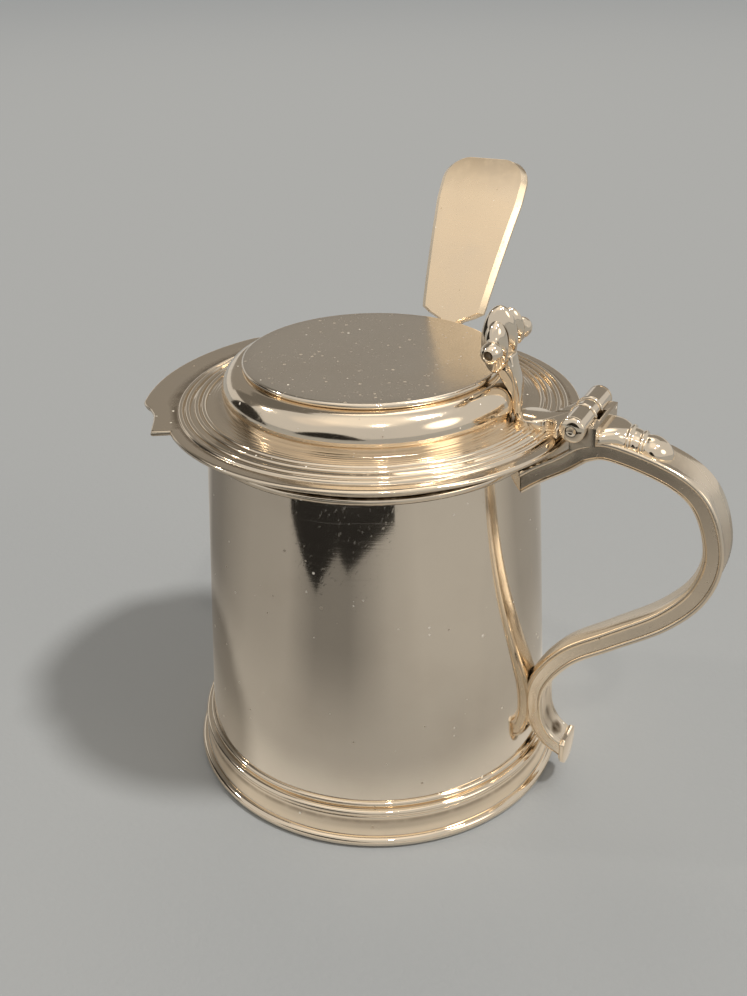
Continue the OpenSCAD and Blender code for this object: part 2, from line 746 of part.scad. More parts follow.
// Front view of the stem and handle
module spoon_plan() {
  end = spoon_len - fiddle_corner_r;
  steps = 24;
  side = [for (i = [0:steps]) let (s = mix(bowl_len - 2, end, i / steps))
    [max(fiddle_half(s), s < bowl_len + 8 ? mix(3.6, stem_min_w, (s - bowl_len + 2) / 10) / 2 : 0), s]];
  tip = arc([fiddle_top_w / 2 - fiddle_corner_r, end], fiddle_corner_r, fiddle_corner_r, 0, 80, 6);
  right = concat(side, tip);
  polygon(concat(right, [for (p = flip(right)) [-p[0], p[1]]]));
}

module spoon_upright() {
  bowl();
  intersection() {
    spoon_blade();
    rotate([90, 0, 0]) linear_extrude(far, center = true) spoon_plan();
  }
}

module spoon() {
  color(silver_warm) translate([spoon_x, spoon_y(spoon_tip_z), spoon_tip_z])
    rotate([-spoon_lean, 0, 0]) translate([0, -spoon_t / 2, 0]) spoon_upright();
}

drum();
base_plate();
foot_moulding();
rim_moulding();
handle_channel();
handle_back();
handle_heel();
hinge_bracket();
handle_knuckles();
handle_drop();
hinge_pin();
pin_caps();
lid_cover();
lid_bezel();
lid_hinge_leaf();
lid_knuckle();
thumbpiece();
spoon();
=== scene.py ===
"""Silver mustard pot in tankard form: its pieces, finish and stage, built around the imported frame."""

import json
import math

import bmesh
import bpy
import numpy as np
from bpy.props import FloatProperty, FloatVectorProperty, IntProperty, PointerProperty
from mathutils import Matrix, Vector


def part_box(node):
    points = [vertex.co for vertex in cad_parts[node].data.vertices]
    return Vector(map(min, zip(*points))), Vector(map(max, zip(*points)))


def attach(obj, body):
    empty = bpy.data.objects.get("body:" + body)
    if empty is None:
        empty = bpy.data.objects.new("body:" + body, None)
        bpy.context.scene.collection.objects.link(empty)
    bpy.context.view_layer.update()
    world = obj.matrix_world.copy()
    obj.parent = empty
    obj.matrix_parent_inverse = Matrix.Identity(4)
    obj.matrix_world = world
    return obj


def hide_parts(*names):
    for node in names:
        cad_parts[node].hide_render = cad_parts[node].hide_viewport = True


bl_info = {
    "name": "Silver Mustard Pot",
    "version": (1, 0, 0),
    "blender": (4, 5, 0),
    "location": "View3D > Sidebar > Mustard Pot",
    "description": "Builds a silver mustard pot with a hinged lid, a scroll handle and a loose spoon",
    "category": "Add Mesh",
}

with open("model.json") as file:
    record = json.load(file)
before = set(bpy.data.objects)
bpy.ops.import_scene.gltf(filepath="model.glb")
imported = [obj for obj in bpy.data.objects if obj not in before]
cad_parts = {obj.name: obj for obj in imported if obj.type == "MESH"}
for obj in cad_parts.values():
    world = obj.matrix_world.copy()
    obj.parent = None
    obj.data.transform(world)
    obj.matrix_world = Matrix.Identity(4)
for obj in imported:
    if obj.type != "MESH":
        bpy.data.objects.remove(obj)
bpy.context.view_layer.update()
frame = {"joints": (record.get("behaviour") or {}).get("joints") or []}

MM = 0.001
WELD = 1e-7
SOLDER = 0.04 * MM
JOINTS = {joint["name"]: joint for joint in frame["joints"]}
HINGE = Vector(JOINTS["lid_hinge"]["pos_m"])
SPOON_AXIS = Vector(JOINTS["spoon_lift"]["axis"])


def low(node):
    """Lowest corner of a node in the frame."""
    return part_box(node)[0]


def high(node):
    """Highest corner of a node in the frame."""
    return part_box(node)[1]


def extent(node, axis):
    """Size of a node in the frame along an axis, named x, y or z."""
    return getattr(high(node), axis) - getattr(low(node), axis)


# Sizes and colours that a user would change

def length(name, metres, about):
    """A length with its name, default and description."""
    return FloatProperty(name=name, description=about, default=metres, unit="LENGTH", precision=5)


def share(name, value, about):
    """A share or ratio with its name, default and description."""
    return FloatProperty(name=name, description=about, default=value, precision=3)


def angle(name, degrees, about):
    """An angle with its name, default and description."""
    return FloatProperty(name=name, description=about, default=math.radians(degrees), subtype="ANGLE")


def colour(name, rgb, about):
    """A colour with its name, default and description."""
    return FloatVectorProperty(name=name, description=about, default=rgb, subtype="COLOR", min=0, max=1)


class PotSizes(bpy.types.PropertyGroup):
    """Drum, base, foot and rim."""

    height: length("Height", high("drum").z, "Height of the drum's mouth above the table")
    lift: length("Lift", low("drum").z, "Gap between the table and the drum's lower edge")
    base_r: length("Base radius", 31.9 * MM, "Outer radius of the drum at table level")
    mouth_r: length("Mouth radius", 27.9 * MM, "Outer radius of the drum at the mouth")
    wall: length("Wall", 1.1 * MM, "Thickness of the drum's wall")
    foot_r: length("Foot radius", high("foot_moulding").x, "Largest radius of the foot")
    bead_h: length("Foot bead", 1.9 * MM, "Height of the bottom bead of the foot")
    band_h: length("Foot band", 3.7 * MM, "Height of the swept band of the foot")
    band_proud: length("Foot band reach", 1.0 * MM, "How far the band stands out from the drum at its top")
    reed_h: length("Foot reed", 1.4 * MM, "Height of the reed above the band")
    cap_h: length("Foot cap", 1.1 * MM, "Height of the small reed against the drum")
    rim_r: length("Rim radius", high("rim_moulding").x, "Largest radius of the rim moulding")
    rim_z: length("Rim foot", low("rim_moulding").z, "Height of the lower edge of the rim moulding")
    rim_reeds: IntProperty(name="Rim reeds", description="Reeds in the rim moulding", default=3)


class LidSizes(bpy.types.PropertyGroup):
    """Lid, front lip and hinge leaf."""

    under: length("Underside", low("lid_cover").z, "Height of the brim's underside")
    top: length("Top", high("lid_cover").z, "Height of the flat top")
    brim_r: length("Brim radius", high("lid_cover").x, "Radius of the brim")
    sheet: length("Sheet", 0.85 * MM, "Thickness of the lid's sheet")
    brim_rise: length("Brim rise", 1.05 * MM, "Rise of the brim from its border to the step")
    reed_r: length("Reed radius", 0.42 * MM, "Radius of the reeds on the brim")
    reed_first: length("First reed", 2.6 * MM, "Distance of the first reed from the brim's edge")
    reed_pitch: length("Reed spacing", 1.15 * MM, "Spacing of the two reeds of a pair")
    reed_pair: length("Pair spacing", 2.65 * MM, "Distance between the two pairs of reeds")
    step_r: length("Step radius", 25.1 * MM, "Largest radius of the raised step")
    swell_h: length("Swell height", 1.7 * MM, "Height of the step's widest place above the brim")
    shoulder_h: length("Shoulder height", 4.15 * MM, "Height of the rounded shoulder")
    shoulder_in: length("Shoulder draw", 3.6 * MM, "How far the rounded shoulder draws in")
    top_r: length("Top radius", 21.5 * MM, "Outer radius of the flat top")
    top_bead: length("Top bead", 0.5 * MM, "Radius of the bead round the flat top")
    lip_half: angle("Lip half angle", 46.5, "Half of the angle that the front lip spans")
    leaf_waist: length("Leaf waist", 2.0 * MM, "Half width of the hinge leaf at its waist")
    lobe_r: length("Lobe radius", 3.0 * MM, "Radius of the leaf's lobe below the thumbpiece")
    lobe_x: length("Lobe place", 28.4 * MM, "Distance of the lobe from the drum's axis")
    leaf_t: length("Leaf thickness", 1.0 * MM, "Thickness of the leaf above the brim")


class CoilSizes(bpy.types.PropertyGroup):
    """Corkscrew thumbpiece."""

    axis_x: length("Axis place", 23.4 * MM, "Distance of the coil's axis from the drum's axis")
    axis_up: length("Axis height", 5.8 * MM, "Height of the coil's axis above the flat top")
    span: length("Length", extent("thumbpiece", "y"), "Length of the coil, end to end")
    half_h: length("Half height", 5.3 * MM, "Half height of the coil at its middle")
    half_d: length("Half depth", 2.6 * MM, "Half depth of the coil at its middle")
    bow: length("Bow", 1.3 * MM, "How far the middle of the coil leans over the lid")
    button_r: length("Button radius", 1.7 * MM, "Radius of the round button at each end")
    turns: share("Turns", 4.0, "Turns of the coil")
    groove: share("Groove", 0.5, "Depth of the grooves between the turns, as a share of the radius")
    stem_w: length("Stem width", 2.8 * MM, "Width of the stem")


class HingeSizes(bpy.types.PropertyGroup):
    """Hinge barrel, pin and bracket."""

    barrel_r: length("Barrel radius", extent("handle_knuckles", "z") / 2, "Outer radius of the knuckles")
    barrel_len: length("Barrel length", extent("hinge_pin", "y"), "Length of the barrel")
    mid_len: length("Middle knuckle", extent("lid_knuckle", "y"), "Length of the lid's knuckle")
    gap: length("Knuckle gap", 0.15 * MM, "End clearance between knuckles")
    pin_r: length("Pin radius", 0.8 * MM, "Radius of the hinge pin")
    cap_t: length("Cap thickness", 1.0 * MM, "Thickness of the domed pin caps")
    bead_r: length("Knuckle bead", 0.3 * MM, "Radius of the bead at each end of the lid's knuckle")
    run_gap: length("Running gap", 0.35 * MM, "Clearance between pieces that move past each other")
    strip_w: length("Strip width", 1.3 * MM, "Width of the raised strip behind the barrel")
    strip_up: length("Strip height", 0.2 * MM, "Height of the strip above the hinge's axis")


class HandleSizes(bpy.types.PropertyGroup):
    """Scroll handle, heel and drop."""

    reach: length("Reach", high("handle_back").x, "Reach of the handle from the drum's axis")
    middle_z: length("Middle", 53.5 * MM, "Height of the handle's widest place")
    width: length("Width", 8.4 * MM, "Width of the handle at the hinge")
    end_width: length("End width", 4.8 * MM, "Width of the handle at its lower end")
    depth: length("Depth", 2.9 * MM, "Depth of the handle from its back to its inner side")
    bead_in: length("Inner bead", 0.8 * MM, "How far the rounded inner side swells inwards")
    strap_t: length("Strap thickness", 0.8 * MM, "Thickness of the outer strap")
    strap_over: length("Strap edge", 0.35 * MM, "How far the strap stands out past each flank")
    grip_gap: length("Grip gap", 0.8 * MM, "Depth of the handle's back below the barrel")
    root: length("Root", 12.0 * MM, "How far below the mouth the upper end runs into the drum")
    heel_z: length("Heel tip", low("handle_heel").z, "Height of the shield plate's tip")
    heel_x: length("Heel place", low("handle_heel").x, "Distance of the shield plate from the drum's axis")
    heel_h: length("Heel height", extent("handle_heel", "z"), "Height of the shield plate")
    heel_w: length("Heel width", extent("handle_heel", "y"), "Width of the shield plate")
    heel_t: length("Heel thickness", extent("handle_heel", "x"), "Thickness of the shield plate")
    drop_len: length("Drop length", 11.4 * MM, "Length of the drop down the handle's back")
    drop_half: length("Drop half width", 4.4 * MM, "Half width of the drop at the hinge")
    drop_h: length("Drop height", 2.5 * MM, "Height of the drop at the hinge")


class SpoonSizes(bpy.types.PropertyGroup):
    """Loose spoon with a fiddle-shaped handle."""

    length: length("Length", 110.5 * MM, "Length of the spoon")
    place_x: length("Place", 1.8 * MM, "Place of the spoon along the handle's direction")
    tip_z: length("Tip", 3.8 * MM, "Height of the bowl's tip above the table")
    gap: length("Gap", 0.5 * MM, "Clearance between the stem and the mouth")
    bowl_len: length("Bowl length", 27.0 * MM, "Length of the bowl")
    bowl_w: length("Bowl width", 18.0 * MM, "Width of the bowl")
    bowl_depth: length("Bowl depth", 5.2 * MM, "Depth of the bowl, outside")
    bowl_t: length("Bowl wall", 0.9 * MM, "Thickness of the bowl's wall")
    thick: length("Thickness", 1.8 * MM, "Thickness of the stem and handle")
    stem_w: length("Stem width", 3.2 * MM, "Width of the stem at its narrowest")
    fiddle_len: length("Fiddle length", 32.0 * MM, "Length of the broad end")
    shoulder_len: length("Shoulder length", 3.0 * MM, "Length of the fiddle's shoulders")
    low_w: length("Lower width", 12.4 * MM, "Width of the fiddle at its shoulders")
    top_w: length("Upper width", 16.8 * MM, "Largest width of the fiddle")
    corner_r: length("Corners", 4.5 * MM, "Radius of the fiddle's end corners")
    chamfer: length("Chamfer", 0.9 * MM, "Width of the bevel along the handle's front edges")
    curve_r: length("Curve", 180.0 * MM, "Radius of the handle's backward curve")


class SilverColours(bpy.types.PropertyGroup):
    """Colours of the silver and of the stage."""

    # The warm and golden casts of the bright, warm and spoon silvers are partly tarnish and partly painted
    # warm lamplight
    bright: colour("Bright silver", (0.87, 0.80, 0.70), "Polished silver")
    warm: colour("Warm silver", (0.88, 0.765, 0.615), "Silver with a warm cast, on castings and mouldings")
    # The tarnish colour also darkens the places where shade is painted as hollow
    tarnish: colour("Tarnish", (0.11, 0.075, 0.042), "Sulphide in the recesses")
    spoon_golden: colour("Used silver", (0.95, 0.785, 0.575), "Silver of the spoon, golden from use")
    cloud: colour("Cloud", (0.74, 0.665, 0.57), "Thin haze on the flat surfaces")
    floor: colour("Floor", (0.40, 0.43, 0.465), "Plain pale floor")
    mat: colour("Mat", (0.46, 0.465, 0.47), "Floor round the pot, as the drum mirrors it")
    backdrop: colour("Backdrop", (0.62, 0.60, 0.57), "Plain pale background")


class MustardPotSettings(bpy.types.PropertyGroup):
    """All settings of the pot."""

    pot: PointerProperty(type=PotSizes)
    lid: PointerProperty(type=LidSizes)
    coil: PointerProperty(type=CoilSizes)
    hinge: PointerProperty(type=HingeSizes)
    handle: PointerProperty(type=HandleSizes)
    spoon: PointerProperty(type=SpoonSizes)
    silver: PointerProperty(type=SilverColours)


# Curves and meshes

TURN_STEPS = 256
HINGE_STEPS = 64

# Hollows: rounds of smoothing, distance within which neighbours count most, and usual gain
HOLLOW_ROUNDS = 8
HOLLOW_REACH = 0.25 * MM
HOLLOW_GAIN = 0.0008

# Painted shade, and a darker spoon face, as the hollow value that each stands for
RIM_GROOVE_SHADE = 0.9
BRIM_UNDERSIDE_SHADE = 0.3
STEM_SIDE_SHADE = 0.3
SPOON_FACE_DARKENING = 0.055
SPOON_TOP_DARKENING = 0.18


def mix(a, b, t):
    """The value a share t of the way from a to b."""
    return a + (b - a) * t


def ease(t):
    """Smooth step from 0 to 1."""
    return (1 - math.cos(math.pi * min(1.0, max(0.0, t)))) / 2


def arc(centre, half_r, half_z, start, end, steps):
    """Points on an ellipse in the plane of radius and height, between two angles in degrees."""
    turn = [math.radians(mix(start, end, i / steps)) for i in range(steps + 1)]
    return [(centre[0] + half_r * math.cos(t), centre[1] + half_z * math.sin(t)) for t in turn]


def drum_r(pot, z):
    """Outer radius of the drum at a height."""
    return mix(pot.base_r, pot.mouth_r, z / pot.height)


def with_margins(outline, margin=0.3 * MM):
    """The closed outline with a point near each end of its long sides, which keeps shading at corners."""
    points = []
    for (r0, z0), (r1, z1) in zip(outline, outline[1:] + outline[:1]):
        points.append((r0, z0))
        size = math.hypot(r1 - r0, z1 - z0)
        if size > 4 * margin and max(r0, r1) > WELD:
            points += [(mix(r0, r1, t), mix(z0, z1, t)) for t in (margin / size, 1 - margin / size)]
    return points


def turned(outline, steps=TURN_STEPS):
    """Solid of revolution about Z with a closed outline of radius and height."""
    bm = bmesh.new()
    outline = with_margins(outline)
    verts = [bm.verts.new((r, 0.0, z)) for r, z in outline]
    pairs = zip(verts, verts[1:] + verts[:1])
    edges = [bm.edges.new(pair) for pair in pairs if max(pair[0].co.x, pair[1].co.x) > WELD]
    bmesh.ops.spin(bm, geom=verts + edges, cent=(0, 0, 0), axis=(0, 0, 1), angle=math.tau, steps=steps,
                   use_merge=True)
    bmesh.ops.remove_doubles(bm, verts=bm.verts, dist=WELD)
    bmesh.ops.recalc_face_normals(bm, faces=bm.faces)
    return bm


def turned_on_hinge(outline):
    """Solid of revolution about the hinge, with an outline of radius and place along the hinge."""
    bm = turned(outline, HINGE_STEPS)
    bmesh.ops.rotate(bm, verts=bm.verts, cent=(0, 0, 0), matrix=Matrix.Rotation(math.radians(-90), 3, "X"))
    bmesh.ops.translate(bm, verts=bm.verts, vec=HINGE)
    return bm


def loft(rings):
    """Closed skin through a row of rings with equal numbers of points."""
    around, along = len(rings[0]), len(rings) - 1
    bm = bmesh.new()
    bmesh.ops.create_grid(bm, x_segments=around, y_segments=along, size=1.0)
    for vert in bm.verts:
        i = round((vert.co.x + 1) / 2 * around) % around
        j = round((vert.co.y + 1) / 2 * along)
        vert.co = rings[j][i]
    bmesh.ops.remove_doubles(bm, verts=bm.verts, dist=WELD)
    bmesh.ops.holes_fill(bm, edges=[edge for edge in bm.edges if edge.is_boundary], sides=0)
    bmesh.ops.recalc_face_normals(bm, faces=bm.faces)
    return bm


def prism(outline, thickness):
    """Flat plate with an outline in X and Y, from Z 0 up."""
    bm = bmesh.new()
    face = bm.faces.new([bm.verts.new((x, y, 0.0)) for x, y in outline])
    made = bmesh.ops.extrude_face_region(bm, geom=[face])
    top = [item for item in made["geom"] if isinstance(item, bmesh.types.BMVert)]
    bmesh.ops.translate(bm, verts=top, vec=(0, 0, thickness))
    bmesh.ops.recalc_face_normals(bm, faces=bm.faces)
    return bm


def soften(bm, width, least_angle=30.0):
    """Round the edges of a piece that are sharper than an angle."""
    edges = [e for e in bm.edges if e.is_manifold and e.calc_face_angle(0.0) > math.radians(least_angle)]
    bmesh.ops.bevel(bm, geom=edges, offset=width, affect="EDGES", segments=3, profile=0.5, material=-1,
                    clamp_overlap=True)


def join(*parts):
    """One bmesh that holds several."""
    whole = bmesh.new()
    for part in parts:
        mesh = mesh_of(part, "part")
        whole.from_mesh(mesh)
        bpy.data.meshes.remove(mesh)
    return whole


def mesh_of(bm, name):
    """A mesh made from a bmesh, which is then freed."""
    mesh = bpy.data.meshes.new(name)
    bm.to_mesh(mesh)
    bm.free()
    return mesh


def carve(bm, tool, operation="DIFFERENCE"):
    """The bmesh cut by, or joined with, another one."""
    pieces = []
    for part, name in ((bm, "work"), (tool, "tool")):
        piece = bpy.data.objects.new(name, mesh_of(part, name))
        bpy.context.scene.collection.objects.link(piece)
        pieces.append(piece)
    cut = pieces[0].modifiers.new("Carve", "BOOLEAN")
    cut.operation = operation
    cut.solver = "EXACT"
    cut.object = pieces[1]
    evaluated = pieces[0].evaluated_get(bpy.context.evaluated_depsgraph_get())
    carved = bmesh.new()
    carved.from_mesh(evaluated.to_mesh())
    evaluated.to_mesh_clear()
    for piece in pieces:
        bpy.data.meshes.remove(piece.data)
    return carved


def mark_hollows(mesh, gain):
    """Store how hollow the surface is at each vertex: above 0 in a recess, below 0 on an edge."""
    count = len(mesh.vertices)
    place, normal = np.empty(count * 3), np.empty(count * 3)
    mesh.vertices.foreach_get("co", place)
    mesh.vertices.foreach_get("normal", normal)
    place, normal = place.reshape(-1, 3), normal.reshape(-1, 3)
    ends = np.empty(len(mesh.edges) * 2, np.int32)
    mesh.edges.foreach_get("vertices", ends)
    a, b = ends.reshape(-1, 2).T
    way = place[b] - place[a]
    size = np.maximum((way * way).sum(1), WELD * WELD)
    near = 1 / (1 + size / HOLLOW_REACH ** 2)
    weight = np.bincount(a, near, count) + np.bincount(b, near, count)

    def gather(at_a, at_b):
        return np.bincount(a, near * at_a, count) + np.bincount(b, near * at_b, count)

    hollow = gather(2 * (way * normal[a]).sum(1) / size, -2 * (way * normal[b]).sum(1) / size)
    hollow = np.clip(hollow / np.maximum(weight, WELD) * gain, -1, 1)
    for _ in range(HOLLOW_ROUNDS):
        hollow = (2 * hollow + gather(hollow[b], hollow[a])) / (2 + weight)
    mesh.attributes.new("hollow", "FLOAT", "POINT").data.foreach_set("value", hollow.astype(np.float32))


def darken_as_hollow(piece, amount_at):
    """Raise the hollow value at chosen places, which darkens them with the tarnish colour: painted shade, and
    a darker spoon face.
    """
    values = piece.data.attributes["hollow"].data
    for vert in piece.data.vertices:
        amount = amount_at(vert.co, vert.normal)
        if amount:
            values[vert.index].value = max(values[vert.index].value, amount)


def place_piece(bm, node, body, material, crease=38.0, smooth_levels=0, gain=HOLLOW_GAIN):
    """Make a finished bmesh a piece that rides on a body and stands for its node."""
    name = node + "_silver"
    mesh = mesh_of(bm, name)
    if not mesh.polygons:
        raise RuntimeError(name + " has no faces")
    mark_hollows(mesh, gain)
    mesh.materials.append(material)
    mesh.shade_smooth()
    piece = bpy.data.objects.new(name, mesh)
    bpy.context.scene.collection.objects.link(piece)
    if smooth_levels:
        rounding = piece.modifiers.new("Rounding", "SUBSURF")
        rounding.levels = smooth_levels
        rounding.render_levels = smooth_levels
    else:
        mesh.set_sharp_from_angle(angle=math.radians(crease))
    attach(piece, body)
    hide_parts(node)
    return piece


# Silver finishes

# Patterns: spacing of the lathe's rings, mean radius of the drum, and the scales of the textures
RING_PITCH = 0.5 * MM
MEAN_R = 30 * MM
CLOUD_SCALE = 70.0
PATCH_SCALE = 420.0
SPECK_SCALE = 800.0
HAMMER_SCALE = 75.0
POLISH_LINES = {"Scale": 60.0, "Stretch": 55.0}
SCRATCH_LINES = {"Scale": 90.0, "Stretch": 24.0}
SCRATCH_TURN = (0.5, 0.9, 0.7)

# Hollow values between which tarnish, and the shade painted as hollow, grow in, and between which an edge is
# worn smooth
TARNISH_RANGE = (0.03, 0.35)
WEAR_RANGE = (-0.05, -0.5)

# How much each kind of mark roughens the surface
POLISH_ROUGHENS = 0.05
SCRATCH_ROUGHENS = 0.08
SPECK_ROUGHENS = 0.6
TOP_ROUGHENS = 0.08

# Depths of the hammer's marks and of the fine relief, and the height of each kind of mark in that relief
HAMMER_DEPTH = 0.16 * MM
RELIEF_DEPTH = 0.004 * MM
POLISH_RELIEF = 0.3
SCRATCH_RELIEF = -0.4
PIT_RELIEF = -2.0
RING_RELIEF = 2.2

# Darkness of the pits, colour of the dings painted as glints, and share of specks that the lid's flat top has
# more
PIT_DARKNESS = 0.4
DING_GLINT_COLOUR = (1.0, 0.97, 0.9)
TOP_SPECKS = 0.45


def rgba(rgb, tone=1.0):
    """An opaque colour, made lighter or darker by a tone."""
    return [tone * part for part in rgb] + [1.0]


def wire(tree, node, sockets):
    """Set the values of a node's sockets and make their links."""
    for key, value in sockets.items():
        if isinstance(value, bpy.types.NodeSocket):
            tree.links.new(value, node.inputs[key])
        else:
            node.inputs[key].default_value = value


def add(tree, kind, sockets=None, **settings):
    """A node with its settings, its values and its links."""
    node = tree.nodes.new(kind)
    for key, value in settings.items():
        setattr(node, key, value)
    wire(tree, node, sockets or {})
    return node


def maths(tree, operation, a, b=0.0, clamp=False):
    """Output of a Math node."""
    return add(tree, "ShaderNodeMath", {0: a, 1: b}, operation=operation, use_clamp=clamp).outputs[0]


def plus_part(tree, total, value, part):
    """A total with a part of another value added to it."""
    return maths(tree, "ADD", total, maths(tree, "MULTIPLY", value, part))


def from_axis(tree, x, y):
    """Distance from the drum's axis."""
    squares = maths(tree, "ADD", maths(tree, "POWER", x, 2.0), maths(tree, "POWER", y, 2.0))
    return maths(tree, "SQRT", squares)


def blend_colour(tree, factor, a, b):
    """Output of a colour Mix node."""
    return add(tree, "ShaderNodeMix", {0: factor, 6: a, 7: b}, data_type="RGBA").outputs[2]


def remap(tree, value, low_in, high_in, low_out=0.0, high_out=1.0):
    """Output of a smooth Map Range node."""
    sockets = {"Value": value, "From Min": low_in, "From Max": high_in, "To Min": low_out, "To Max": high_out}
    return add(tree, "ShaderNodeMapRange", sockets, interpolation_type="SMOOTHSTEP").outputs["Result"]


def noise(tree, vector, scale, detail):
    """Output of a Noise texture."""
    sockets = {"Vector": vector, "Scale": scale, "Detail": detail}
    return add(tree, "ShaderNodeTexNoise", sockets).outputs[0]


def stretch(tree, vector, x, y, z):
    """Coordinates multiplied by a value along each axis."""
    ratio = add(tree, "ShaderNodeCombineXYZ", {0: x, 1: y, 2: z}).outputs[0]
    return add(tree, "ShaderNodeVectorMath", {0: vector, 1: ratio}, operation="MULTIPLY").outputs[0]


def object_place(tree):
    """Output of the Object coordinates."""
    return add(tree, "ShaderNodeTexCoord").outputs["Object"]


def split(tree, vector):
    """The three outputs of a vector's parts."""
    return add(tree, "ShaderNodeSeparateXYZ", {0: vector}).outputs


def new_group(name, inputs, outputs):
    """An empty shader node group with named sockets, its inputs and its output node."""
    tree = bpy.data.node_groups.new(name, "ShaderNodeTree")
    for direction, sockets in (("INPUT", inputs), ("OUTPUT", outputs)):
        for socket, kind in sockets.items():
            tree.interface.new_socket(socket, in_out=direction, socket_type="NodeSocket" + kind)
    return tree, tree.nodes.new("NodeGroupInput").outputs, tree.nodes.new("NodeGroupOutput")


def new_material(name):
    """A material, its node tree and its Principled BSDF."""
    material = bpy.data.materials.new(name)
    material.use_nodes = True
    return material, material.node_tree, material.node_tree.nodes["Principled BSDF"]


def around_axis_group():
    """Coordinates that run round the drum's axis, with the seam behind the handle."""
    tree, _, out = new_group("Around axis", {}, {"Vector": "Vector"})
    x, y, z = split(tree, object_place(tree))
    back_x = maths(tree, "MULTIPLY", x, -1.0)
    back_y = maths(tree, "MULTIPLY", y, -1.0)
    run = maths(tree, "MULTIPLY", maths(tree, "ARCTAN2", back_y, back_x), MEAN_R)
    around = add(tree, "ShaderNodeCombineXYZ", {0: run, 1: from_axis(tree, x, y), 2: z})
    wire(tree, out, {"Vector": around.outputs[0]})
    return tree


def hairlines_group():
    """Fine polishing lines that run along X of the given coordinates."""
    tree, given, out = new_group("Hairlines", {"Vector": "Vector", "Scale": "Float", "Stretch": "Float"},
                                 {"Lines": "Float", "Grain": "Float"})
    across = maths(tree, "MULTIPLY", given["Scale"], given["Stretch"])
    fine = noise(tree, stretch(tree, given["Vector"], given["Scale"], across, across), 1.0, 3.0)
    wire(tree, out, {"Lines": remap(tree, fine, 0.60, 0.74), "Grain": fine})
    return tree


def specks_group():
    """Small pits, and dings with a painted glint, scattered one by one."""
    tree, given, out = new_group("Specks", {"Vector": "Vector", "Scale": "Float", "Share": "Float"},
                                 {"Pits": "Float", "Dings": "Float"})
    cells = add(tree, "ShaderNodeTexVoronoi", {"Vector": given["Vector"], "Scale": given["Scale"]})
    red, green, blue = add(tree, "ShaderNodeSeparateColor", {0: cells.outputs["Color"]}).outputs
    chosen = maths(tree, "LESS_THAN", red, given["Share"])
    size = maths(tree, "MULTIPLY", maths(tree, "POWER", green, 2.0), 0.16)
    near = remap(tree, maths(tree, "SUBTRACT", cells.outputs["Distance"], size), 0.09, 0.02)
    speck = maths(tree, "MULTIPLY", near, chosen)
    pits = maths(tree, "MULTIPLY", speck, maths(tree, "GREATER_THAN", blue, 0.7))
    wire(tree, out, {"Pits": pits, "Dings": maths(tree, "SUBTRACT", speck, pits)})
    return tree


def tarnish_group():
    """Silver that is darker in its recesses, from tarnish and from shade painted as hollow, and hazy in
    clouds.
    """
    tree, given, out = new_group(
        "Tarnish",
        {"Vector": "Vector", "Silver": "Color", "Cloud": "Color", "Dark": "Color", "Depth": "Float"},
        {"Color": "Color", "Dullness": "Float", "Wear": "Float"})
    hollow = add(tree, "ShaderNodeAttribute", attribute_name="hollow").outputs["Fac"]
    clouds = noise(tree, given["Vector"], CLOUD_SCALE, 5.0)
    patches = noise(tree, given["Vector"], PATCH_SCALE, 3.0)
    haze = remap(tree, clouds, 0.42, 0.75, 0.0, 0.4)
    recess = remap(tree, hollow, *TARNISH_RANGE)
    tarnish_and_shade = maths(tree, "MULTIPLY", recess, remap(tree, patches, 0.25, 0.6, 0.6, 1.0))
    tarnish_and_shade = maths(tree, "MULTIPLY", tarnish_and_shade, given["Depth"])
    hazy = blend_colour(tree, haze, given["Silver"], given["Cloud"])
    wire(tree, out, {
        "Color": blend_colour(tree, tarnish_and_shade, hazy, given["Dark"]),
        "Dullness": plus_part(tree, maths(tree, "MULTIPLY", tarnish_and_shade, 0.3), haze, 0.05),
        "Wear": remap(tree, hollow, *WEAR_RANGE)})
    return tree


def planish_group():
    """Slow unevenness left by the hammer."""
    tree, given, out = new_group("Planished", {"Vector": "Vector", "Scale": "Float", "Upright": "Float"},
                                 {"Height": "Float"})
    drawn = stretch(tree, given["Vector"], 1.0, 1.0, given["Upright"])
    wire(tree, out, {"Height": noise(tree, drawn, given["Scale"], 1.5)})
    return tree


def rings_group():
    """Fine rings left by the lathe between two radii."""
    tree, given, out = new_group("Lathe rings", {"Vector": "Vector", "Inner": "Float", "Outer": "Float"},
                                 {"Height": "Float"})
    x, y, _ = split(tree, given["Vector"])
    radius = from_axis(tree, x, y)
    wave = maths(tree, "SINE", maths(tree, "MULTIPLY", radius, math.tau / RING_PITCH))
    inside = maths(tree, "GREATER_THAN", radius, given["Inner"])
    within = maths(tree, "MULTIPLY", inside, maths(tree, "LESS_THAN", radius, given["Outer"]))
    wire(tree, out, {"Height": maths(tree, "MULTIPLY", wave, within)})
    return tree


GROUP_BUILDERS = {
    "around": around_axis_group, "lines": hairlines_group, "specks": specks_group,
    "tarnish": tarnish_group, "planish": planish_group, "rings": rings_group,
}
GROUPS = {}
FINISHES = {}


def use(tree, key, sockets):
    """Outputs of a shared group placed in a material."""
    if key not in GROUPS:
        GROUPS[key] = GROUP_BUILDERS[key]()
    return add(tree, "ShaderNodeGroup", sockets, node_tree=GROUPS[key]).outputs


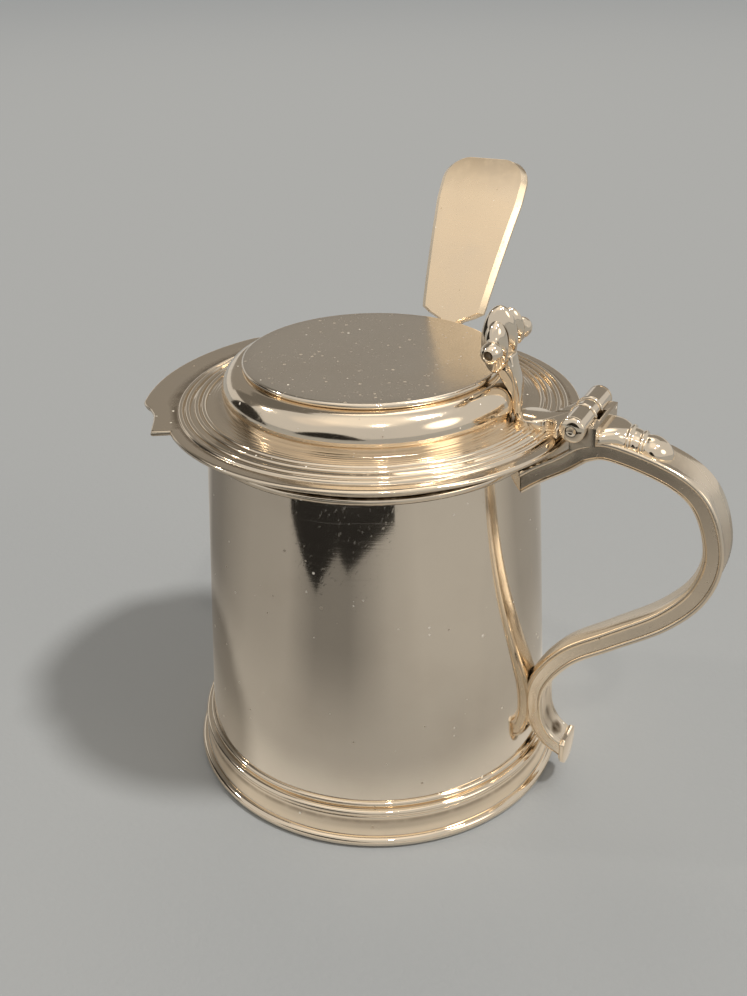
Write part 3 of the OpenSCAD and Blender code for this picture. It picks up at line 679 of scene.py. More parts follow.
def silver(name, base="bright", turned_marks=False, roughness=0.12, lines=1.0, specks=0.05, depth=0.8,
           uneven=1.0, upright=1.0, rings=None, dull_above=None, worn=0.04):
    """A silver finish: tone, polishing lines, specks, tarnish in the recesses and an uneven surface."""
    if name in FINISHES:
        return FINISHES[name]
    colours = bpy.context.scene.mustard_pot.silver
    material, tree, surface = new_material(name)
    place = object_place(tree)
    along = use(tree, "around", {})["Vector"] if turned_marks else place
    slanted = add(tree, "ShaderNodeMapping", {"Vector": place, "Rotation": SCRATCH_TURN}).outputs[0]
    metal = rgba(getattr(colours, base))
    spread = specks
    if dull_above:
        height = split(tree, place)["Z"]
        on_top = remap(tree, height, dull_above, dull_above + 0.1 * MM)
        metal = blend_colour(tree, on_top, rgba(colours.warm), metal)
        spread = plus_part(tree, specks, on_top, TOP_SPECKS)
    tone = use(tree, "tarnish", {"Vector": place, "Silver": metal, "Cloud": rgba(colours.cloud),
                                 "Dark": rgba(colours.tarnish), "Depth": depth})
    polish = use(tree, "lines", {"Vector": along, **POLISH_LINES})
    scratches = use(tree, "lines", {"Vector": slanted, **SCRATCH_LINES})
    spots = use(tree, "specks", {"Vector": place, "Scale": SPECK_SCALE, "Share": spread})
    pits, dings_and_glints = spots["Pits"], spots["Dings"]
    slow = use(tree, "planish", {"Vector": along, "Scale": HAMMER_SCALE, "Upright": upright})["Height"]
    darkened = maths(tree, "MULTIPLY", pits, PIT_DARKNESS)
    pitted = blend_colour(tree, darkened, tone["Color"], rgba(colours.tarnish))
    marks = maths(tree, "MULTIPLY", polish["Lines"], POLISH_ROUGHENS * lines)
    marks = plus_part(tree, marks, scratches["Lines"], SCRATCH_ROUGHENS * lines)
    marks = plus_part(tree, marks, maths(tree, "ADD", pits, dings_and_glints), SPECK_ROUGHENS)
    marks = maths(tree, "ADD", marks, tone["Dullness"])
    if dull_above:
        marks = plus_part(tree, marks, on_top, TOP_ROUGHENS)
    marks = plus_part(tree, marks, tone["Wear"], -worn)
    wavy = add(tree, "ShaderNodeBump", {"Height": slow, "Distance": HAMMER_DEPTH * uneven, "Strength": 1.0})
    fine = maths(tree, "MULTIPLY", polish["Grain"], POLISH_RELIEF * lines)
    fine = plus_part(tree, fine, scratches["Lines"], SCRATCH_RELIEF * lines)
    fine = plus_part(tree, fine, pits, PIT_RELIEF)
    if rings:
        lathe = use(tree, "rings", {"Vector": place, "Inner": rings[0], "Outer": rings[1]})["Height"]
        fine = plus_part(tree, fine, lathe, RING_RELIEF)
    scratched = add(tree, "ShaderNodeBump", {"Height": fine, "Distance": RELIEF_DEPTH, "Strength": 1.0,
                                             "Normal": wavy.outputs[0]})
    # The dings are painted as bright glints in the base colour
    wire(tree, surface, {
        "Base Color": blend_colour(tree, dings_and_glints, pitted, rgba(DING_GLINT_COLOUR)),
        "Roughness": maths(tree, "ADD", marks, roughness, clamp=True),
        "Metallic": 1.0, "Normal": scratched.outputs[0]})
    FINISHES[name] = material
    return material


def body_silver():
    """Drum: bright, with lines that run round it."""
    return silver("silver_body_finish", turned_marks=True, roughness=0.11, lines=1.3, specks=0.12,
                  upright=0.16)


def moulding_silver():
    """Foot and rim: warm, and smooth on their reeds."""
    return silver("silver_moulding_finish", "warm", turned_marks=True, roughness=0.08, depth=1.0,
                  specks=0.03)


def lid_silver():
    """Lid: fine scratches and lathe rings, with many dings on a duller top."""
    lid = bpy.context.scene.mustard_pot.lid
    inner_reed = lid.brim_r - lid.reed_first - lid.reed_pair - lid.reed_pitch
    return silver("silver_lid_finish", roughness=0.11, lines=1.2, specks=0.12,
                  rings=(lid.step_r + 0.3 * MM, inner_reed), dull_above=lid.top - 0.2 * MM)


def cast_silver():
    """Hinge, heel, drop and thumbpiece: warm castings with dark recesses."""
    return silver("silver_cast_finish", "warm", roughness=0.10, depth=1.0, specks=0.03, uneven=0.7)


def handle_silver():
    """Handle and hinge bracket: satin from the hand."""
    return silver("silver_handle_finish", "warm", roughness=0.33, lines=1.2, depth=1.0, specks=0.06,
                  uneven=0.6, worn=0.2)


def spoon_silver():
    """Spoon: satin from use, and golden, partly from tarnish and partly as painted warm light."""
    return silver("silver_spoon_finish", "spoon_golden", roughness=0.24, lines=2.2, specks=0.13, uneven=1.1,
                  depth=1.0)


# Drum, foot and rim

def foot_outline(pot):
    """Outer outline of the foot, from the table up."""
    bead, reed, cap = pot.bead_h / 2, pot.reed_h / 2, pot.cap_h / 2
    reed_z = pot.bead_h + pot.band_h
    cap_z = reed_z + pot.reed_h
    low_r = pot.foot_r - bead
    band_r = drum_r(pot, reed_z) + pot.band_proud
    steps = 20
    band = [(mix(low_r, band_r, ease(i / steps)), mix(pot.bead_h, reed_z, i / steps))
            for i in range(1, steps)]
    return (arc((low_r, bead), bead, bead, -90, 90, 16) + band
            + arc((band_r - 0.4 * reed, reed_z + reed), reed, reed, -80, 80, 14)
            + arc((drum_r(pot, cap_z) + SOLDER, cap_z + cap), cap, cap, -75, 90, 12))


class MUSTARD_OT_drum(bpy.types.Operator):
    """Tapered drum with its base plate"""

    bl_idname = "mustard.drum"
    bl_label = "Drum and base"

    def execute(self, context):
        pot = context.scene.mustard_pot.pot
        edge = 0.25 * MM
        mouth_in = pot.mouth_r - pot.wall
        outline = ([(drum_r(pot, pot.lift) - pot.wall, pot.lift), (drum_r(pot, pot.lift), pot.lift)]
                   + arc((pot.mouth_r - edge, pot.height - edge), edge, edge, 0, 90, 4)
                   + arc((mouth_in + edge, pot.height - edge), edge, edge, 90, 180, 4))
        place_piece(turned(outline), "drum", "pot", body_silver())
        floor, top = low("base_plate").z, high("base_plate").z
        inside = pot.wall + SOLDER
        plate = [(0, floor), (drum_r(pot, floor) - inside, floor), (drum_r(pot, top) - inside, top), (0, top)]
        place_piece(turned(plate), "base_plate", "pot", body_silver())
        return {"FINISHED"}


class MUSTARD_OT_mouldings(bpy.types.Operator):
    """Moulded foot and reeded rim"""

    bl_idname = "mustard.mouldings"
    bl_label = "Foot and rim"

    def execute(self, context):
        pot = context.scene.mustard_pot.pot
        foot_h = pot.bead_h + pot.band_h + pot.reed_h + pot.cap_h
        foot = [(drum_r(pot, 0) + SOLDER, 0)] + foot_outline(pot) + [(drum_r(pot, foot_h) + SOLDER, foot_h)]
        place_piece(turned(foot), "foot_moulding", "pot", moulding_silver(), gain=0.0016)
        half = (pot.height - pot.rim_z) / pot.rim_reeds / 2
        rim = [(drum_r(pot, pot.rim_z) + SOLDER, pot.rim_z)]
        for i in range(pot.rim_reeds):
            depth = half * mix(0.94, 0.44, i / (pot.rim_reeds - 1))
            rim += arc((pot.rim_r - depth, pot.rim_z + half * (2 * i + 1)), depth, half, -85, 85, 14)
        rim.append((pot.mouth_r + SOLDER, pot.height))
        reeds = place_piece(turned(rim), "rim_moulding", "pot", moulding_silver())
        # Painted shade in the grooves between the rim's reeds, under the brim's edge
        darken_as_hollow(reeds, lambda co, normal: RIM_GROOVE_SHADE * (abs(normal.z) > 0.5))
        return {"FINISHED"}


# Spoon line, which the lid's notch follows

def spoon_y(settings, z):
    """Place of the spoon's straight centre line at a height."""
    pot, spoon = settings.pot, settings.spoon
    slope = SPOON_AXIS.y / SPOON_AXIS.z
    at_mouth = pot.mouth_r - pot.wall - spoon.gap - spoon.thick / 2 / SPOON_AXIS.z
    return at_mouth + (z - pot.height) * slope


def spoon_half(spoon, s):
    """Half width of the stem and the fiddle at a distance from the bowl's tip."""
    start = spoon.length - spoon.fiddle_len
    flared = mix(spoon.stem_w, spoon.low_w, ease((s - start) / spoon.shoulder_len))
    spread = (s - start - spoon.shoulder_len) / (0.65 * spoon.fiddle_len)
    widened = mix(spoon.low_w, spoon.top_w, min(1.0, max(0.0, spread))) - spoon.low_w
    return (flared + widened) / 2


def notch_outline(settings):
    """Outline of the way that the spoon takes through the lid while the lid swings up past it."""
    lid, spoon = settings.lid, settings.spoon
    gap, overrun, steps = 0.9 * MM, 2 * MM, 10
    slope = SPOON_AXIS.y / SPOON_AXIS.z
    brim_z = lid.under + lid.sheet + lid.brim_rise
    rise_end = (lid.brim_r + overrun - spoon_y(settings, lid.under)) / slope
    swing = HINGE.x - spoon.place_x
    right, left = [], []
    for i in range(steps + 1):
        h = rise_end * i / steps
        half = spoon_half(spoon, (brim_z + h - spoon.tip_z) / SPOON_AXIS.z) + gap
        back = swing - math.sqrt(swing * swing - h * h)
        right.append((spoon.place_x + half, spoon_y(settings, lid.under + h)))
        left.append((spoon.place_x - half - back, spoon_y(settings, lid.under + h)))
    inner = spoon_y(settings, lid.under) - spoon.thick - gap
    outer = lid.brim_r + 10 * MM
    return ([(right[0][0], inner)] + right + [(right[-1][0], outer), (left[-1][0], outer)]
            + left[::-1] + [(left[0][0], inner)])


def notch_tool(settings):
    """Block in the shape of the notch, through the brim and the bezel."""
    lid = settings.lid
    below, tall = 5.4 * MM, lid.brim_rise + lid.sheet + 6.5 * MM
    bm = prism(notch_outline(settings), tall)
    bmesh.ops.translate(bm, verts=bm.verts, vec=(0, 0, lid.under - below))
    return bm


# Lid

def lid_outline(lid):
    """Closed outline of the lid's sheet, from the brim's edge over the top and back inside."""
    edge = lid.sheet / 2
    border_z = lid.under + lid.sheet
    border_r = lid.brim_r - lid.reed_first + lid.reed_r
    brim_z = border_z + lid.brim_rise
    swell_z = brim_z + lid.swell_h
    bend = 76
    shoulder_r = lid.step_r - lid.shoulder_in
    shoulder_z = swell_z + lid.shoulder_h * math.sin(math.radians(bend))
    fillet = 0.35 * MM
    bead_r = lid.top_r - lid.top_bead
    roof_z = lid.top - lid.sheet
    dish = 0.06 * MM

    def brim_top(r):
        return border_z + lid.brim_rise * max(0.0, border_r - r) / (border_r - lid.step_r)

    reeds = [lid.brim_r - lid.reed_first - pair * lid.reed_pair - k * lid.reed_pitch
             for pair in (0, 1) for k in (0, 1)]
    outline = [(lid.brim_r - edge, lid.under)]
    outline += arc((lid.brim_r - edge, lid.under + edge), edge, edge, -75, 90, 8)
    outline.append((border_r + 0.1 * MM, border_z))
    for r in reeds:
        outline += arc((r, brim_top(r)), lid.reed_r, lid.reed_r, 4, 176, 12)
    outline.append((lid.step_r + 0.3 * MM, brim_top(lid.step_r + 0.3 * MM)))
    outline += arc((lid.step_r - fillet, swell_z), fillet, lid.swell_h, -70, -6, 8)
    outline += arc((shoulder_r, swell_z), lid.shoulder_in, lid.shoulder_h, 0, bend, 28)
    outline.append((bead_r + 0.1 * MM, shoulder_z))
    outline += arc((bead_r, shoulder_z + lid.top_bead), lid.top_bead, lid.top_bead, -70, 90, 12)
    outline += [(bead_r * k / 8, lid.top - dish * (1 - (k / 8) ** 2)) for k in range(7, -1, -1)]
    outline += [(0, roof_z), (bead_r - 0.4 * MM, roof_z)]
    inner = arc((shoulder_r, swell_z), lid.shoulder_in - lid.sheet, lid.shoulder_h - lid.sheet,
                0, bend - 6, 16)
    return outline + inner[::-1] + [(lid.step_r - lid.sheet, lid.under)]


# Edge of the front lip: degrees from its middle, and the share of its full reach there
LIP_EDGE = ((0, 1.0), (27, 1.0), (29.5, 0.82), (32, 0.58), (35.5, 0.45), (40, 0.5), (46.5, 0.72))


def shape_lip(bm, lid):
    """Draw the brim's border out into the front lip, with a cusp, a hollow and a point on each side."""
    angles, shares = zip(*LIP_EDGE)
    reach = -low("lid_cover").x - lid.brim_r
    half, notch = lid.lip_half, math.radians(0.06)
    pitch = math.tau / TURN_STEPS
    past_reed = 0.45 * MM
    border_r = lid.brim_r - lid.reed_first + lid.reed_r + past_reed
    for vert in bm.verts:
        r = math.hypot(vert.co.x, vert.co.y)
        turn = math.atan2(vert.co.y, -vert.co.x)
        if abs(abs(turn) - half) < pitch * 0.75 and r > WELD:
            side = -1 if abs(turn) <= half else 1
            turn = math.copysign(half + side * notch, turn)
        if abs(turn) < half and r > border_r:
            r += reach * float(np.interp(math.degrees(abs(turn)), angles, shares))
        if r > WELD:
            vert.co = (-r * math.cos(turn), r * math.sin(turn), vert.co.z)


class MUSTARD_OT_lid(bpy.types.Operator):
    """Raised lid with reeded brim and front lip, and its bezel"""

    bl_idname = "mustard.lid"
    bl_label = "Lid and bezel"

    def execute(self, context):
        settings = context.scene.mustard_pot
        bm = turned(lid_outline(settings.lid))
        shape_lip(bm, settings.lid)
        bm = carve(bm, notch_tool(settings))
        cover = place_piece(bm, "lid_cover", "lid", lid_silver())
        # Painted shade on the brim's underside, where it overhangs the rim
        overhang = settings.pot.rim_r - 1.5 * MM
        darken_as_hollow(cover, lambda co, normal: BRIM_UNDERSIDE_SHADE * (normal.z < -0.5 and math.hypot(co.x, co.y) > overhang))
        foot, top, r = low("lid_bezel").z, high("lid_bezel").z, high("lid_bezel").x
        thick, round_off = 0.8 * MM, 0.3 * MM
        ring = [(r - thick, foot), (r - round_off, foot), (r, foot + round_off), (r, top), (r - thick, top)]
        bm = carve(turned(ring), notch_tool(settings))
        place_piece(bm, "lid_bezel", "lid", lid_silver())
        return {"FINISHED"}


# Hinge

# Dimple in the pin caps: shares of its radius and of the cap's thickness
CAP_DIMPLE = ((1.0, 0.92), (0.8, 0.83), (0.0, 0.76))


def tube(inner, outer, start, end, bead=0.0):
    """Outline of a tube along the hinge, with rounded ends that may carry a bead."""
    edge = 0.15 * MM
    if bead:
        near = arc((outer - 0.1 * MM, start + bead), bead, bead, -90, 90, 12)
        far = arc((outer - 0.1 * MM, end - bead), bead, bead, -90, 90, 12)
        return [(inner, start)] + near + far + [(inner, end)]
    return [(inner, start), (outer - edge, start), (outer, start + edge), (outer, end - edge),
            (outer - edge, end), (inner, end)]


def hinge_rod(radius, half):
    """Solid rod along the hinge, which reaches as far to each side of the middle."""
    return turned_on_hinge([(0, -half), (radius, -half), (radius, half), (0, half)])


def back_height(handle, pot, hinge, x):
    """Height of the handle's back near the hinge, at a distance from the drum's axis."""
    upper = [p for p in handle_line(handle, pot, hinge)[0] if p[1] > mix(handle.middle_z, HINGE.z, 0.13)]
    return float(np.interp(x, [p[0] for p in upper], [p[1] for p in upper]))


class MUSTARD_OT_hinge(bpy.types.Operator):
    """Hinge bracket, knuckles, pin and pin caps"""

    bl_idname = "mustard.hinge"
    bl_label = "Hinge"

    def execute(self, context):
        settings = context.scene.mustard_pot
        hinge = settings.hinge
        half, mid = hinge.barrel_len / 2, hinge.mid_len / 2
        bore, lid_bore = hinge.pin_r + 0.02 * MM, hinge.pin_r + 0.06 * MM
        inner_end = mid + hinge.gap
        sides = [turned_on_hinge(tube(bore, hinge.barrel_r, start, end))
                 for start, end in ((-half, -inner_end), (inner_end, half))]
        place_piece(join(*sides), "handle_knuckles", "pot", cast_silver())
        lid_tube = turned_on_hinge(tube(lid_bore, hinge.barrel_r, -mid, mid, hinge.bead_r))
        place_piece(lid_tube, "lid_knuckle", "lid", cast_silver())
        place_piece(hinge_rod(hinge.pin_r, half), "hinge_pin", "pot", cast_silver())
        edge = 0.35 * hinge.cap_t
        dimple = 0.36 * hinge.barrel_r
        dome = ([(0, 0), (hinge.barrel_r, 0)]
                + arc((0, edge), hinge.barrel_r, hinge.cap_t - edge, 0, 66, 12)
                + [(r * dimple, y * hinge.cap_t) for r, y in CAP_DIMPLE])
        caps = [turned_on_hinge([(r, side * (half + SOLDER + y)) for r, y in dome]) for side in (-1, 1)]
        place_piece(join(*caps), "pin_caps", "pot", cast_silver())
        self.bracket(settings)
        return {"FINISHED"}

    def bracket(self, settings):
        """Block between the handle's back and the barrel, with a raised strip behind it."""
        hinge, handle, pot = settings.hinge, settings.handle, settings.pot
        front = HINGE.x - 0.35 * hinge.barrel_r
        back = HINGE.x + hinge.barrel_r + hinge.strip_w
        strip_z = HINGE.z + hinge.strip_up
        steps = 8
        under = [mix(front, back, i / steps) for i in range(steps + 1)]
        outline = [(x, back_height(handle, pot, hinge, x) + SOLDER) for x in under]
        outline += [(back, strip_z), (back - hinge.strip_w * 1.2, strip_z),
                    (front, HINGE.z - 0.85 * hinge.barrel_r)]
        wide = 0.86 * hinge.barrel_len
        bm = prism(outline, wide)
        bmesh.ops.rotate(bm, verts=bm.verts, cent=(0, 0, 0), matrix=Matrix.Rotation(math.radians(90), 3, "X"))
        bmesh.ops.translate(bm, verts=bm.verts, vec=(0, wide / 2, 0))
        bm = carve(bm, hinge_rod(hinge.barrel_r + SOLDER, hinge.barrel_len / 2 + 1 * MM))
        room = hinge.barrel_r + hinge.bead_r + hinge.run_gap
        bm = carve(bm, hinge_rod(room, hinge.mid_len / 2 + hinge.gap))
        place_piece(bm, "hinge_bracket", "pot", handle_silver())


class MUSTARD_OT_leaf(bpy.types.Operator):
    """Shaped leaf on the brim, from the thumbpiece to the hinge"""

    bl_idname = "mustard.leaf"
    bl_label = "Hinge leaf"

    def execute(self, context):
        settings = context.scene.mustard_pot
        lid, hinge = settings.lid, settings.hinge
        end = HINGE.x - hinge.barrel_r - hinge.run_gap
        tongue = HINGE.x - 0.7 * hinge.barrel_r
        wing, mid = hinge.barrel_len / 2, hinge.mid_len / 2
        waist = math.degrees(math.asin(lid.leaf_waist / lid.lobe_r))
        waist_x = lid.lobe_x + lid.lobe_r * math.cos(math.radians(waist))
        flare = end - waist_x - 0.8 * MM
        upper = (arc((lid.lobe_x, 0), lid.lobe_r, lid.lobe_r, 180, waist, 20)
                 + arc((waist_x, wing), flare, wing - lid.leaf_waist, -80, -8, 14)
                 + [(end, wing), (end, mid), (tongue, mid)])
        lower = [(x, -y) for x, y in upper[:0:-1]]
        brim_z = lid.under + lid.sheet + lid.brim_rise
        floor, crest = lid.under + 0.6 * lid.sheet, HINGE.z - 0.7 * MM
        rise_from, rise_to = lid.lobe_x + 1.5 * MM, end - 1.4 * MM
        lift_from, lift_run, lift_z = lid.brim_r - 2.6 * MM, 1.8 * MM, HINGE.z - 2.2 * MM
        bm = prism(upper + lower, crest - floor)
        for vert in bm.verts:
            rise = ease((vert.co.x - rise_from) / (rise_to - rise_from))
            top = mix(brim_z + lid.leaf_t, crest, rise)
            lifted = mix(floor, lift_z, ease((vert.co.x - lift_from) / lift_run))
            vert.co.z = top if vert.co.z > 0 else lifted
        soften(bm, 0.28 * MM, 40)
        keep = lid.step_r + SOLDER
        reach = hinge.barrel_r + hinge.bead_r + SOLDER
        bm = carve(bm, turned([(0, floor - MM), (keep, floor - MM), (keep, crest + MM), (0, crest + MM)]))
        bm = carve(bm, hinge_rod(reach, hinge.barrel_len))
        place_piece(bm, "lid_hinge_leaf", "lid", cast_silver())
        return {"FINISHED"}


# Thumbpiece

# Dimple in the end buttons: shares of the button's radius and of the coil's half length
DIMPLE = ((0.46, 0.98), (0.34, 0.94), (0.05, 0.91))

def coil_ring(coil, axis_z, y, count):
    """Outline of the corkscrew at a distance from its middle: rounded turns that wind round it."""
    neck = coil.span / 2 - 1.5 * coil.button_r
    inside = abs(y) < neck
    swell = mix(0.25, 1.0, max(0.0, 1 - (y / neck) ** 2) ** 0.7)
    axis_x = coil.axis_x - coil.bow * max(0.0, 1 - (y / neck) ** 2)
    off = (abs(y) - coil.span / 2 + coil.button_r) / coil.button_r
    button = coil.button_r * math.sqrt(max(0.0, 1 - off * off))
    ring = []
    for j in range(count):
        t = math.tau * j / count
        phase = (t - math.tau * coil.turns * y / coil.span) % math.tau - math.pi
        turn = 1 - coil.groove * (0.5 + 0.5 * math.cos(phase)) ** 1.5
        half_d = max(coil.half_d * swell * turn if inside else 0, button)
        half_h = max(coil.half_h * swell * turn if inside else 0, button)
        ring.append((axis_x + half_d * math.sin(t), y, axis_z + half_h * math.cos(t)))
    return ring


def coil_button(coil, axis_z, y, radius, count):
    """Round ring on the coil's axis."""
    turn = [math.tau * j / count for j in range(count)]
    return [(coil.axis_x + radius * math.sin(t), y, axis_z + radius * math.cos(t)) for t in turn]


class MUSTARD_OT_thumbpiece(bpy.types.Operator):
    """Cast corkscrew thumbpiece on its stem"""

    bl_idname = "mustard.thumbpiece"
    bl_label = "Thumbpiece"

    def execute(self, context):
        settings = context.scene.mustard_pot
        coil, lid = settings.coil, settings.lid
        axis_z = lid.top + coil.axis_up
        rings, sides = 150, 72
        end = coil.span / 2
        places = [end * -math.cos(math.pi * mix(0.07, 0.93, i / rings)) for i in range(rings + 1)]
        skin = [coil_ring(coil, axis_z, y, sides) for y in places]
        near, far = [[coil_button(coil, axis_z, side * end * place, coil.button_r * wide, sides)
                      for wide, place in DIMPLE] for side in (-1, 1)]
        screw = loft(near[::-1] + skin + far)
        foot_z = lid.under + lid.sheet + lid.brim_rise + 0.15 * MM
        foot_x = lid.step_r + 0.15 * MM
        # Stem: share of its rise, inner and outer place, and share of its width
        stations = ((0.0, foot_x, foot_x + 1.05 * MM, 0.55),
                    (0.3, foot_x - 0.55 * MM, foot_x + 0.8 * MM, 0.7),
                    (0.63, coil.axis_x - 1.5 * MM, coil.axis_x + 1.9 * MM, 1.0),
                    (0.84, coil.axis_x - 1.2 * MM, coil.axis_x + 1.3 * MM, 1.0))
        stem = []
        for rise, x0, x1, wide in stations:
            z, w = mix(foot_z, axis_z, rise), coil.stem_w / 2 * wide
            stem.append([(x0, -w, z), (x1, -w, z), (x1, w, z), (x0, w, z)])
        post = loft(stem)
        soften(post, 0.35 * MM, 40)
        whole = carve(screw, post, "UNION")
        piece = place_piece(whole, "thumbpiece", "lid", cast_silver(), crease=50,
                            gain=0.004)
        # Painted shade on the stem's face towards the lid's step, below the coil
        stem_top = axis_z - 0.8 * coil.half_h
        darken_as_hollow(piece, lambda co, normal: STEM_SIDE_SHADE * (normal.x < -0.6 and co.z < stem_top))
        return {"FINISHED"}


# Handle

def curve_point(p, i, t):
    """Point and direction of a smooth curve through the points p, between its points i and i + 1."""
    a, b, c, d = (np.array(p[k]) for k in range(i - 1, i + 3))
    square, cube = 2 * a - 5 * b + 4 * c - d, 3 * b - a - 3 * c + d
    point = b + (t * (c - a) + t * t * square + t ** 3 * cube) / 2
    way = (c - a) + 2 * t * square + 3 * t * t * cube
    return point, way / np.linalg.norm(way)


def handle_line(handle, pot, hinge, steps=12):
    """Points and directions of the handle's back, from the drum over the hinge and down to the heel."""
    grip = HINGE.z - hinge.barrel_r - handle.grip_gap
    heel_out = handle.heel_x - drum_r(pot, handle.heel_z)

    # Each stretch of the line measures its points as shares of the way between its two ends
    def root(reach, rise):
        return mix(pot.mouth_r, HINGE.x, reach), mix(pot.height - handle.root, grip, rise)

    def crown(reach, rise):
        return mix(HINGE.x, handle.reach, reach), mix(handle.middle_z, grip, rise)

    def limb(reach, fall):
        return mix(HINGE.x, handle.reach, reach), mix(handle.middle_z, handle.heel_z, fall)

    def shin(reach, fall):
        z = mix(handle.middle_z, handle.heel_z, fall)
        return drum_r(pot, z) + reach * heel_out, z

    line = [root(-0.93, 0), root(-0.455, 0.243), root(0.09, 0.53), root(0.636, 0.757), root(1.07, 0.95),
            crown(0.236, 1.006), crown(0.65, 0.834), crown(0.886, 0.54), crown(1, 0),
            limb(0.93, 0.162), limb(0.71, 0.3), limb(0.36, 0.43), limb(0.063, 0.54),
            shin(0.59, 0.673), shin(0.48, 0.785), shin(0.7, 0.854),
            (handle.heel_x, handle.heel_z + 0.93 * handle.heel_h),
            (handle.heel_x + handle.heel_h / 2, handle.heel_z + 0.77 * handle.heel_h)]
    stations = [curve_point(line, i, k / steps) for i in range(1, len(line) - 2) for k in range(steps)]
    stations.append(curve_point(line, len(line) - 3, 1.0))
    return [s[0] for s in stations], [s[1] for s in stations]


def handle_rings(settings, section):
    """Rings of a handle section, given as points across and outwards for a half width."""
    handle = settings.handle
    points, ways = handle_line(handle, settings.pot, settings.hinge)
    last = len(points) - 1
    rings = []
    for k, (p, way) in enumerate(zip(points, ways)):
        out = (-way[1], way[0])
        half = mix(handle.width, handle.end_width, (k / last) ** 0.75) / 2
        rings.append([(p[0] + out[0] * o, y, p[1] + out[1] * o) for y, o in section(half)])
    end_x, lower_end = handle.heel_x - SOLDER, 20 * MM
    rings[last] = [(end_x, y, z - (x - end_x) * ways[last][1] / ways[last][0]) for x, y, z in rings[last]]
    # At the lower end, rings that reach past the heel's plate are left out
    clear = [ring for ring in rings[:-1] if max(p[0] for p in ring) < end_x or ring[0][2] > lower_end]
    return clear + [rings[last]]


def pot_tool(pot):
    """Solid outline of the drum and its rim, which the handle ends against."""
    rim_z = pot.rim_z - SOLDER
    return turned([(0, -MM), (drum_r(pot, 0) + SOLDER, -MM), (drum_r(pot, rim_z) + SOLDER, rim_z),
                   (pot.rim_r + SOLDER, rim_z), (pot.rim_r + SOLDER, pot.height), (0, pot.height)])


class MUSTARD_OT_handle(bpy.types.Operator):
    """Hollow scroll handle, its outer strap and its shield-shaped heel"""

    bl_idname = "mustard.handle"
    bl_label = "Handle and heel"

    def execute(self, context):
        settings = context.scene.mustard_pot
        handle = settings.handle
        edge, groove = 0.36 * MM, 0.28 * MM
        dish, side_dish = 0.16 * MM, 0.12 * MM

        def strap(half):
            h = half + handle.strap_over
            return (arc((-h + edge, -handle.strap_t + edge), edge, edge, 180, 270, 3)
                    + arc((h - edge, -handle.strap_t + edge), edge, edge, 270, 360, 3)
                    + arc((h - edge, -edge), edge, edge, 0, 90, 4)
                    + [(h * 0.6, -side_dish), (0, -dish), (-h * 0.6, -side_dish)]
                    + arc((-h + edge, -edge), edge, edge, 90, 180, 4))

        def channel(half):
            top, deep = -handle.strap_t - SOLDER, -handle.depth
            bead = arc((0, deep), half - groove / 2, handle.bead_in, 180, 360, 24)
            near = [(half - groove, deep + 0.3 * groove), (half, deep + 1.3 * groove), (half, top)]
            return [(-y, o) for y, o in near[::-1]] + bead + near

        for name, section in (("handle_back", strap), ("handle_channel", channel)):
            bm = carve(loft(handle_rings(settings, section)), pot_tool(settings.pot))
            place_piece(bm, name, "pot", handle_silver(), gain=0.002)
        self.heel(handle)
        return {"FINISHED"}

    def heel(self, handle):
        """Shield-shaped plate on the lower end of the handle."""
        w, h = handle.heel_w / 2, handle.heel_h
        right = arc((0, 0.55 * h), w, 0.55 * h, -60, 0, 10) + [(w, 0.9 * h), (0.72 * w, h)]
        outline = [(0, 0)] + right + [(0, 0.92 * h)] + [(-x, y) for x, y in right[::-1]]
        bm = prism(outline, handle.heel_t)
        soften(bm, 0.2 * MM)
        turn = Matrix(((0, 0, 1), (1, 0, 0), (0, 1, 0)))
        bmesh.ops.transform(bm, verts=bm.verts, matrix=turn.to_4x4())
        bmesh.ops.translate(bm, verts=bm.verts, vec=(handle.heel_x, 0, handle.heel_z))
        place_piece(bm, "handle_heel", "pot", cast_silver())


# Drop: half-round baluster on the handle's back, as shares of its length, half width and height
DROP_STATIONS = (
    (0, 1.15, 0.72), (0.1, 1.04, 0.76), (0.2, 0.9, 0.78), (0.3, 0.76, 0.78), (0.39, 0.64, 0.74),
    (0.4, 0.72, 0.88), (0.44, 0.72, 0.88), (0.45, 0.56, 0.7),
    (0.5, 0.6, 0.76), (0.56, 0.54, 0.68), (0.57, 0.64, 0.8), (0.61, 0.64, 0.8), (0.62, 0.48, 0.6),
    (0.68, 0.58, 0.74), (0.76, 0.62, 0.8), (0.85, 0.56, 0.74), (0.92, 0.42, 0.6), (0.97, 0.24, 0.4),
    (1, 0.1, 0.2),
)


class MUSTARD_OT_drop(bpy.types.Operator):
    """Cast baluster drop on the handle's back"""

    bl_idname = "mustard.drop"
    bl_label = "Handle drop"

    def execute(self, context):
        settings = context.scene.mustard_pot
        handle, pot, hinge = settings.handle, settings.pot, settings.hinge
        start, sunk = HINGE.x + hinge.barrel_r + 0.6 * MM, 0.6 * MM
        plate_end = 0.36
        rings = []
        for along, wide, tall in DROP_STATIONS:
            x = start + along * handle.drop_len
            z = back_height(handle, pot, hinge, x) - sunk
            w, h = wide * handle.drop_half, tall * handle.drop_h + sunk
            square = 0.5 if along < plate_end else 0.85
            rings.append([(x, math.copysign(abs(y) ** square, y) * w, z + up ** square * h)
                          for y, up in arc((0, 0), 1, 1, 0, 180, 18)])
        place_piece(loft(rings), "handle_drop", "pot", cast_silver(), smooth_levels=2)
        return {"FINISHED"}


# Spoon

